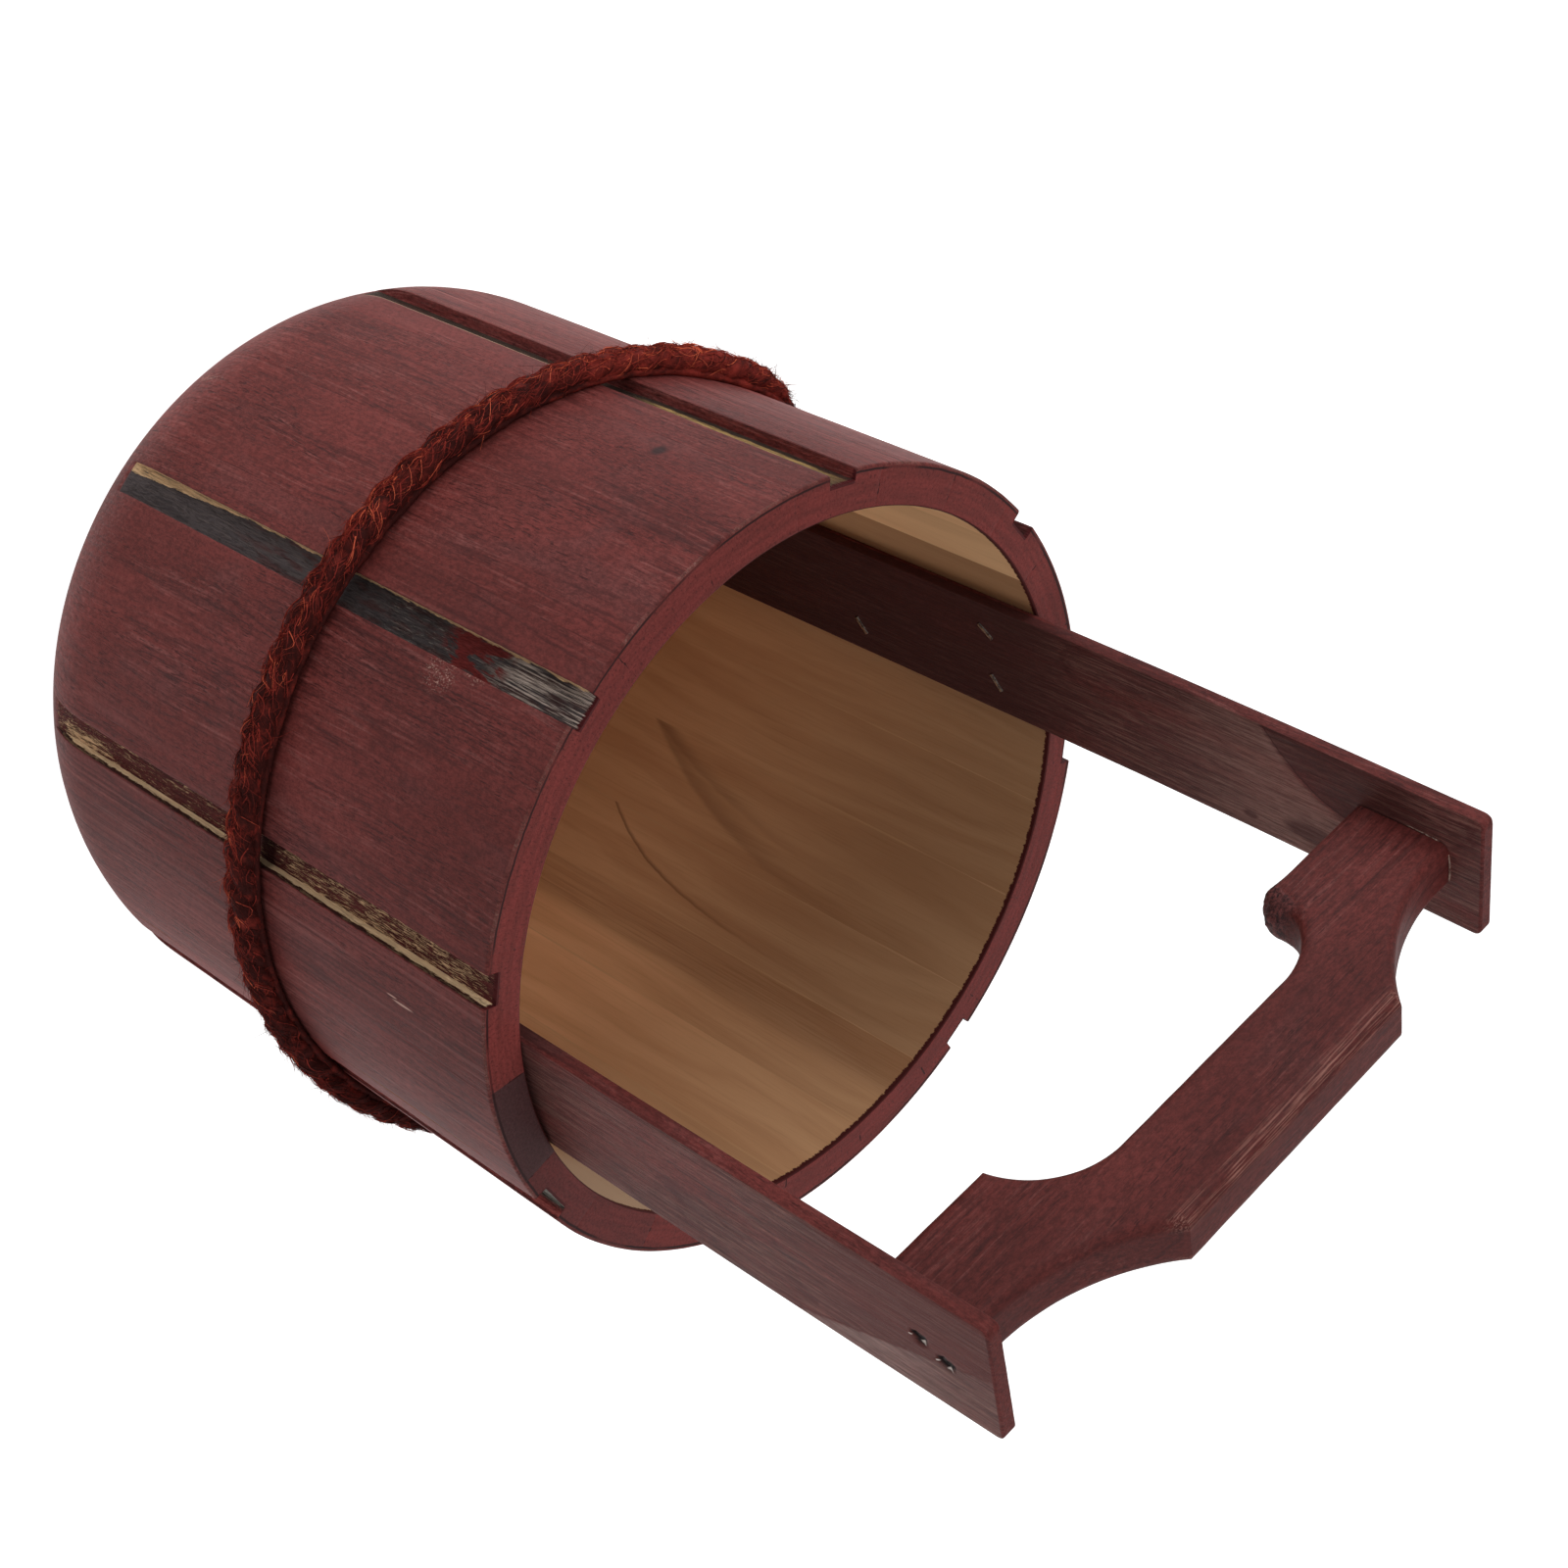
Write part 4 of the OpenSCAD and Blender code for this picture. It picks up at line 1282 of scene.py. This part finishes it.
# %% Grip finish
def grip_finish():
    f = Finish("stained_grip")
    place = f.place()
    x, y, z = f.parts(place)
    grain = f.shift(f.join(z, y, x), (70, 0, 900))
    colour, fibre, _ = stain(f, grain)
    colour = f.shade(colour, 0.66)
    worn = f.times(f.rise(z, 351.5, 356.5), f.rise(f.size(x), 50, 41),
                   f.rise(f.size(f.minus(y, SHIFT)), 3.4, 6.0),
                   f.rise(f.cloud(grain, (0.0, 0.0, 0.05), 2), 0.35, 0.6, 0.25, 1.0))
    scrape = f.cloud(grain, (2.6, 2.0, 0.05), 4, 0.7)
    colour = f.blend(f.times(worn, f.rise(scrape, 0.46, 0.62, 0.0, 0.7)), colour, rgb(168, 118, 106))
    colour = f.blend(f.times(worn, f.rise(scrape, 0.44, 0.34, 0.0, 0.8)), colour, LINE)
    torn = f.read("torn")
    pit = f.cloud(place, (0.9, 0.5, 0.9), 4, 0.75, 0.5)
    rough = f.blend(f.rise(pit, 0.38, 0.64), rgb(44, 26, 28), rgb(112, 62, 60))
    colour = f.blend(f.rise(torn, 0.25, 0.6), colour, rough)
    return f.close(colour, f.rise(fibre, 0.2, 0.8, 0.5, 0.64),
                   [(fibre, 0.1), (f.times(worn, scrape), 0.2), (f.times(torn, pit), 0.9)],
                   Specular_IOR_Level=0.11)


stained_grip = grip_finish()
print("grip finish has", len(stained_grip.node_tree.nodes), "nodes")

# %% [markdown]
# ### Building the grip
# The first and the last layers are drawn in along a quarter circle, which rounds the sanded edges, and
# the ones between stand square. The shoulder's push fades away from its middle, so that the torn wood
# swells out of the smooth surface without a seam.

# %% Build the grip
SHOULDER_OUT, SHOULDER_DOWN = 0.80, 0.60


def shoulder_push(x, z, across):
    """How far the torn shoulder stands out, and how torn it is. across is -1 at the front face."""
    reach = math.exp(-(((x + 55.5) / 4.4) ** 2 + ((z - 314.0) / 6.0) ** 2))
    swell = 1.1 + 3.6 * max(0.0, 1 - (across - 0.1) ** 2) ** 0.8
    notch = -1.4 * math.exp(-(((z - 311.6) / 1.0) ** 2)) * (1 if across > -0.6 else 0)
    rough = 0.5 * wave(z * 0.7, across * 5, 3) + 0.25 * wave(z * 1.9, across * 13, 1)
    return reach * (swell + notch + rough), reach


def build_grip():
    layers = [(-GRIP_T / 2 + ARRIS * (1 - math.cos(math.radians(t))),
               1 - math.sin(math.radians(t))) for t in (0, 18, 36, 54, 72, 90)]
    inner = [(y, 0.0) for y in steps(-GRIP_T / 2 + ARRIS, GRIP_T / 2 - ARRIS, 1.1)[1:-1]]
    layers = [(-GRIP_T / 2, 1.25)] + layers
    layers = layers + inner + [(-y, k) for y, k in layers[::-1]]
    points, marks = [], {"torn": []}
    for y, share in layers:
        across = y / (GRIP_T / 2)
        for run, value in stations:
            x, z = outline_point(run, value, ARRIS * share, 0.5 * share)
            push, torn = shoulder_push(x, z, across)
            x_new = x + SHOULDER_OUT * push + 0.06 * wave(x * 0.12, z * 0.12, y * 0.2)
            z_new = z - SHOULDER_DOWN * push + 0.08 * wave(x * 0.12, z * 0.12, y * 0.2 + 40)
            points.append((x_new, y + SHIFT, z_new))
            marks["torn"].append(torn * (0.0 if abs(across) > 0.93 else 1.0))
    faces = skin(len(layers), len(stations))
    return make_piece("sanded_grip", points, faces, [stained_grip], ["grip"],
                      marks=marks)


grip = build_grip()
print("grip faces:", len(grip.data.polygons))

# %% [markdown]
# ## A bead of glue
# Where the grip meets the far upright, glue was squeezed out and dried to a pale thread. It follows
# the corner of the grip's end, and is no thicker than a pencil line, so a thin tube with three sides
# is enough. The rope's hairs are made by the same helper further on.

# %% Thin tube and glue
def thin_tube(line, radius, points, faces):
    """Adds a three-sided tube along a line of points, drawn to a point at its end."""
    base = len(points)
    for k, here in enumerate(line):
        run = (line[min(k + 1, len(line) - 1)] - line[max(k - 1, 0)]).normalized()
        side = run.cross(Vector((0.31, 0.17, 0.93))).normalized()
        other = run.cross(side)
        width = radius * (1 - 0.75 * k / (len(line) - 1))
        for s in range(3):
            turn = 2 * math.pi * s / 3
            points.append(tuple(here + side * (width * math.cos(turn))
                                + other * (width * math.sin(turn))))
    faces.extend(skin(len(line), 3, base))


GLUE_PATH = [(3.6, 338.3), (1.0, 338.5), (-2.5, 338.4), (-5.2, 338.0), (-7.4, 336.6), (-8.6, 334.2),
             (-8.8, 331.0), (-8.9, 327.5), (-9.0, 324.5)]


def glue_finish():
    f = Finish("dried_glue")
    dirt = f.cloud(f.place(), (0.8, 0.8, 0.8), 3, 0.7)
    colour = f.blend(f.rise(dirt, 0.42, 0.58), rgb(196, 172, 156), rgb(112, 72, 66))
    return f.close(colour, 0.5, [(dirt, 0.05)], Specular_IOR_Level=0.3)


def build_glue():
    line = []
    for k in range(len(GLUE_PATH) - 1):
        for share in (0.0, 0.33, 0.67):
            y = GLUE_PATH[k][0] * (1 - share) + GLUE_PATH[k + 1][0] * share
            z = GLUE_PATH[k][1] * (1 - share) + GLUE_PATH[k + 1][1] * share
            x = -(bow_at(-1, z) - UPRIGHT_T) + 0.15 + 0.1 * wave(y, z)
            line.append(Vector((x, y + 0.25 * wave(z * 0.7, y * 0.7), z)))
    points, faces = [], []
    thin_tube(line, 0.30, points, faces)
    return make_piece("glue_bead", points, faces, [glue_finish()], [])


glue = build_glue()
print("glue points:", len(glue.data.vertices))

# %% [markdown]
# ## The rope
# Three strands of coarse fibre are plaited round a core, and the hoop they make is stapled round the
# wall a little askew. Each strand's middle weaves from side to side once in a plait's length, and in
# and out twice. A tube along that line gives the strand, and a fourth, plain one gives the core.
# Thousands of thin tubes make it hairy: two batches lie along the strands and lift a little at their
# tips, and a third holds the loose hairs and the few long ones. Their placing is random but seeded, so
# every run gives the same rope.

# %% Rope line
# the length of one plait, the radius of a strand, and how far it weaves sideways and in and out
PLAIT, STRAND_R, SIDEWAYS, IN_OUT = 29.0, 3.3, 1.55, 0.65
tilt = math.radians(ROPE_TILT)
HOOP_R = (wall_radius(ROPE_Z + MOUTH_R * math.sin(tilt)) + 0.15 + 4.0) / math.cos(tilt)


def rope_frame(angle):
    """Middle of the rope at an angle round the hoop, with its outward and sideways directions."""
    turn = math.radians(angle)
    high = math.radians(ROPE_HIGH)
    tip = (Matrix.Rotation(high, 3, "Z") @ Matrix.Rotation(-tilt, 3, "Y")
           @ Matrix.Rotation(-high, 3, "Z"))
    outward = tip @ Vector((math.cos(turn), math.sin(turn), 0))
    sideways = tip @ Vector((0, 0, 1))
    return Vector((0, 0, ROPE_Z + rope_lift(angle))) + outward * HOOP_R, outward, sideways


def strand_point(strand, angle, around, reach):
    """A point beside a strand: around says on which side of it, reach how far from its middle.
    Strand 3 is the core that the other three are laid round."""
    middle, outward, sideways = rope_frame(angle)
    turned = (angle - ROPE_ENDS) % 360
    tip = math.exp(-(turned / 4.0) ** 2)
    phase = 2 * math.pi * (math.radians(turned) * HOOP_R / PLAIT + strand / 3)
    phase += 0.9 * wave(turned * 0.045, 6.0)
    tight = (1 + 0.3 * wave(turned * 0.11, 9.0 + strand)) * (1 - 0.5 * tip) * (strand < 3)
    side = SIDEWAYS * tight * math.sin(phase) - 0.8 + 1.3 * ease((turned - 70) / 50)
    out = IN_OUT * tight * math.sin(2 * phase) - 0.35 - 1.5 * tip - 0.8 * ease((turned - 300) / 50)
    reach *= 1 - 0.35 * tip
    lean = math.cos(around) * 0.94
    if strand == 3:
        out, reach, lean = -3.1 - 0.4 * tip, reach * 1.35, math.cos(around) * 0.42
    return middle + sideways * (side + reach * math.sin(around)) + outward * (out + reach * lean)


print("hoop radius", round(HOOP_R, 2), "mm, plaits in it:", round(2 * math.pi * HOOP_R / PLAIT, 1))

# %% [markdown]
# ### The rope's finish
# Coarse fibre takes dye unevenly: some hairs stay orange and others turn nearly black. So each hair
# keeps a tone of its own in the mesh, a cloud varies it along the rope, and two blends turn it into a
# red between the darkest and the brightest. The tone also carries painted light: it is raised on the
# rope's base side and on the stretch of the hoop that faces the light, and lowered on the shaded
# stretch and for hairs that lie deep. Small near-black specks are painted shade in the gaps.

# %% Rope finish
def rope_finish():
    f = Finish("dyed_fibre")
    tone = f.read("tone")
    place = f.place()
    mottle = f.cloud(place, (0.25, 0.25, 0.25), 4, 0.65)
    fine = f.cloud(place, (1.6, 1.6, 1.6), 3, 0.7)
    dye_and_painted_light = f.plus(tone, f.times(f.minus(mottle, 0.5), 0.7))
    colour = f.blend(f.rise(dye_and_painted_light, 0.05, 0.55), rgb(54, 21, 19), rgb(142, 50, 42))
    colour = f.blend(f.rise(dye_and_painted_light, 0.55, 1.0), colour, rgb(240, 116, 80))
    # painted shade: small near-black specks stand for the gaps between the hairs
    colour = f.blend(f.rise(fine, 0.42, 0.30, 0.0, 0.5), colour, rgb(28, 11, 11))
    return f.close(colour, 0.72, [(fine, 0.25)], Specular_IOR_Level=0.05)


dyed_fibre = rope_finish()
print("rope is dyed with", dyed_fibre.name)

# %% [markdown]
# ### Laying the strands
# Each strand is a tube of sixteen sides. Ridges that wind round it and slow lumps along it keep it from
# looking like a hose, and it swells a little where the rope opens behind its first end.

# %% Rope strands
def frayed(angle):
    """How much the rope swells where it opens behind its first end."""
    turned = (angle - ROPE_ENDS) % 360
    return math.exp(-((turned - 15) / 7) ** 2)


def build_strands():
    sides = 16
    first = ROPE_ENDS + ROPE_GAP / 2
    angles = steps(first, first + 360 - ROPE_GAP, 0.5)
    points, faces, tones = [], [], []
    for strand in range(4):
        base = len(points)
        for angle in angles:
            for s in range(sides):
                around = 2 * math.pi * s / sides
                twist = around * 3 + angle * 0.9
                ridge = 0.26 * wave(math.cos(twist) * 2, math.sin(twist) * 2, angle * 0.8 + strand)
                lump = 0.32 * wave(angle * 0.30, strand * 5, 1)
                reach = STRAND_R - 0.3 + ridge + lump + 0.5 * frayed(angle)
                points.append(tuple(strand_point(strand, angle, around, reach)))
                # painted light: strands are brighter over the stretch of the hoop that faces the light
                bright = 0.12 + 0.22 * ease((46 - (angle - ROPE_ENDS)) / 18)
                tones.append(bright + 0.3 * wave(math.cos(twist), angle * 0.3, strand))
        faces.extend(skin(len(angles), sides, base))
    return make_piece("rope_strands", points, faces, [dyed_fibre], ["rope_hoop"],
                      marks={"tone": tones}, sharp=80)


rope = build_strands()
print("rope faces:", len(rope.data.polygons))

# %% [markdown]
# ### Laying the hairs
# A hair is a line of a few points with a thin tube round it. Most hug a strand and follow its twist,
# and the loose ones leave the rope in a direction of their own. A random number generator places them,
# but the few long ones are so easily noticed that each is placed by a line in a list.

# %% Rope fibres
# where a long hair leaves the rope, how far it goes (degrees round, mm up), and how much it curls
LONG_HAIRS = [(281.0, (-7.5, -9.0), 1.2), (279.5, (-1.5, -15.0), -1.6), (283.0, (4.0, -8.0), 0.8),
              (262.0, (5.0, -9.0), 1.0), (300.5, (-4.0, -8.0), -0.9), (321.0, (3.0, -9.0), 1.0),
              (322.5, (-3.0, 15.0), 0.7), (335.0, (4.0, -10.0), -1.0), (243.0, (3.5, -9.0), 0.9)]


def redness_and_painted_light(angle, around):
    """How bright the dye shows, as painted light: most on the base side, and where the hoop faces the
    light.
    """
    turned = (angle - ROPE_ENDS) % 360
    lit = (0.5 - 0.5 * math.sin(around)) ** 1.5
    bundle = 0.5 + 0.9 * wave(turned * 0.16, 4.0)
    sunny = 0.28 * ease((46 - turned) / 18)
    shaded = 0.06 * ease((turned - 60) / 50)
    return sunny + lit * bundle * (0.95 - 0.3 * ease((turned - 50) / 60)) - shaded


def hugging_line(draw):
    """A fibre that lies along its strand, lifting a little at its tip."""
    strand = draw.randrange(3)
    length = draw.uniform(1.4, 4.6)
    angle = ROPE_ENDS + 0.2 + draw.random() * (359.4 - ROPE_GAP - length)
    around = draw.gauss(-0.1, 1.25)
    drift, bow = draw.gauss(0.2, 0.7), draw.gauss(0, 0.5)
    lifted = max(0.0, draw.gauss(-0.02, 0.32))
    depth = draw.uniform(-0.25, 0.28)
    line = []
    for k in range(6):
        share = k / 5
        reach = STRAND_R + depth - 0.1 + lifted * share ** 2 * 2.4 + 0.5 * frayed(angle)
        turn = around + drift * share + bow * math.sin(share * math.pi)
        line.append(strand_point(strand, angle + length * share, turn, reach))
    tone = 0.7 * draw.betavariate(0.9, 2.2) + 1.1 * draw.random() * redness_and_painted_light(angle, around)
    bundle = 0.45 * wave(angle * 0.5, around * 1.4, strand * 7.0)
    shadow = 0.22 * ease((angle - ROPE_ENDS - 80) / 50) * max(0.0, math.sin(around))
    # painted shade: hairs that lie deeper are darker, and those on the shaded stretch darker still
    return line, tone + 0.45 * depth + bundle - shadow + 0.09


def loose_line(draw, at_end):
    """A short hair that stands off or loops back; at_end puts it in the burst at the first end."""
    strand = draw.randrange(3)
    angle = ROPE_ENDS + (abs(draw.gauss(0, 7)) if at_end else 1 + draw.random() * 355)
    start = strand_point(strand, angle, draw.gauss(0.0, 1.3), STRAND_R + 0.4 * frayed(angle))
    _, outward, sideways = rope_frame(angle)
    along = outward.cross(sideways) * draw.choice((-1, 1))
    heading = (along * draw.uniform(0.3, 1) + outward * draw.uniform(0.0, 0.45)
               + sideways * draw.gauss(0, 0.7)).normalized()
    curl = Vector([draw.gauss(0, 0.8) for _ in range(3)])
    length = draw.uniform(1.2, 4.2)
    line = [start + heading * (length * k / 5) + curl * (k / 5) ** 2 * length * 0.6
            for k in range(6)]
    line = [p if math.hypot(p.x, p.y) > MOUTH_R + 0.3 else p + outward * 0.8 for p in line]
    # painted shade: loose hairs further round the hoop, away from the light, are a little darker
    return line, 0.9 * draw.betavariate(1.1, 2.0) - 0.1 * ease((angle - ROPE_ENDS - 60) / 50)


def long_line(where, heads, turns):
    """A long hair that lies curled on the wall."""
    line = []
    for k in range(17):
        share = k / 16
        angle = where + heads[0] * share + turns * math.sin(share * math.pi)
        z = rope_height(where) - 3 + heads[1] * share + 2.0 * turns * math.sin(share * math.pi * 1.5)
        radius = MOUTH_R + 2.6 - 2.0 * share + 0.6 * math.sin(share * math.pi)
        line.append(Vector((radius * math.cos(math.radians(angle)),
                            radius * math.sin(math.radians(angle)), z)))
    return line


def hair_piece(name, lines):
    """One object of many hairs, given as (line, tone, radius)."""
    points, faces, tones = [], [], []
    for line, tone, radius in lines:
        before = len(points)
        thin_tube(line, radius, points, faces)
        tones.extend([tone] * (len(points) - before))
    return make_piece(name, points, faces, [dyed_fibre], [], marks={"tone": tones},
                      sharp=80)


draw = random.Random(11)
hairs = []
for batch in range(2):
    lines = [hugging_line(draw) + (draw.uniform(0.07, 0.20),) for _ in range(4800)]
    hairs.append(hair_piece(f"rope_fibres_{batch + 1}", lines))
lines = [loose_line(draw, k < 350) + (draw.uniform(0.05, 0.10),) for k in range(4400)]
lines += [(long_line(*hair), 0.35, 0.11) for hair in LONG_HAIRS]
hairs.append(hair_piece("rope_fibres_3", lines))
print("fibre triangles:", [sum(len(p.vertices) - 2 for p in h.data.polygons) for h in hairs])

# %% [markdown]
# ## Staples and nails
# Wire staples hold the rope and the uprights, and nails go through the uprights into the grip. Their
# solids already have the right shape. The upright staples only need the dull, streaky look of
# zinc-plated wire. The rope staples and the nails are copied too, with their edges eased, and pushed in
# deeper: the rope has closed over its staples, and the nails lie at the bottom of their craters.

# %% Metal finishes
STAPLES_SUNK, NAILS_SUNK = 2.5, 0.85


def metal_finish(name, bright, dull, roughness):
    f = Finish(name)
    smear = f.cloud(f.place(), (0.9, 0.9, 0.9), 4, 0.7)
    colour = f.blend(f.rise(smear, 0.40, 0.62), bright, dull)
    return f.close(colour, f.rise(smear, 0.3, 0.7, roughness, roughness + 0.25), [(smear, 0.08)],
                   Metallic=1.0)


staple_wire = metal_finish("staple_wire", rgb(176, 170, 160), rgb(96, 84, 78), 0.34)
dark_nail = metal_finish("dark_nail", rgb(46, 40, 38), rgb(16, 12, 12), 0.42)
sunk = eased_copy("rope_staples", "sunk_rope_staples", 0.2, staple_wire)
for vertex in sunk.data.vertices:
    out = math.hypot(vertex.co.x, vertex.co.y)
    where = math.degrees(math.atan2(vertex.co.y, vertex.co.x)) % 360
    vertex.co.z += rope_lift(where) * MM
    vertex.co.x *= 1 - STAPLES_SUNK * MM / out
    vertex.co.y *= 1 - STAPLES_SUNK * MM / out
sunk_nails = eased_copy("grip_nails", "sunk_grip_nails", 0.15, dark_nail)
for vertex in sunk_nails.data.vertices:
    vertex.co.x -= math.copysign(NAILS_SUNK * MM, vertex.co.x)
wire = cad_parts["upright_staples"].data
wire.materials.clear()
wire.materials.append(staple_wire)
print("metal pieces:", sunk.name, sunk_nails.name, "upright_staples")

# %% [markdown]
# ## Picture settings
# Colours are shown as they are, with no film look.

# %% Finish
bpy.context.scene.view_settings.view_transform = "Standard"
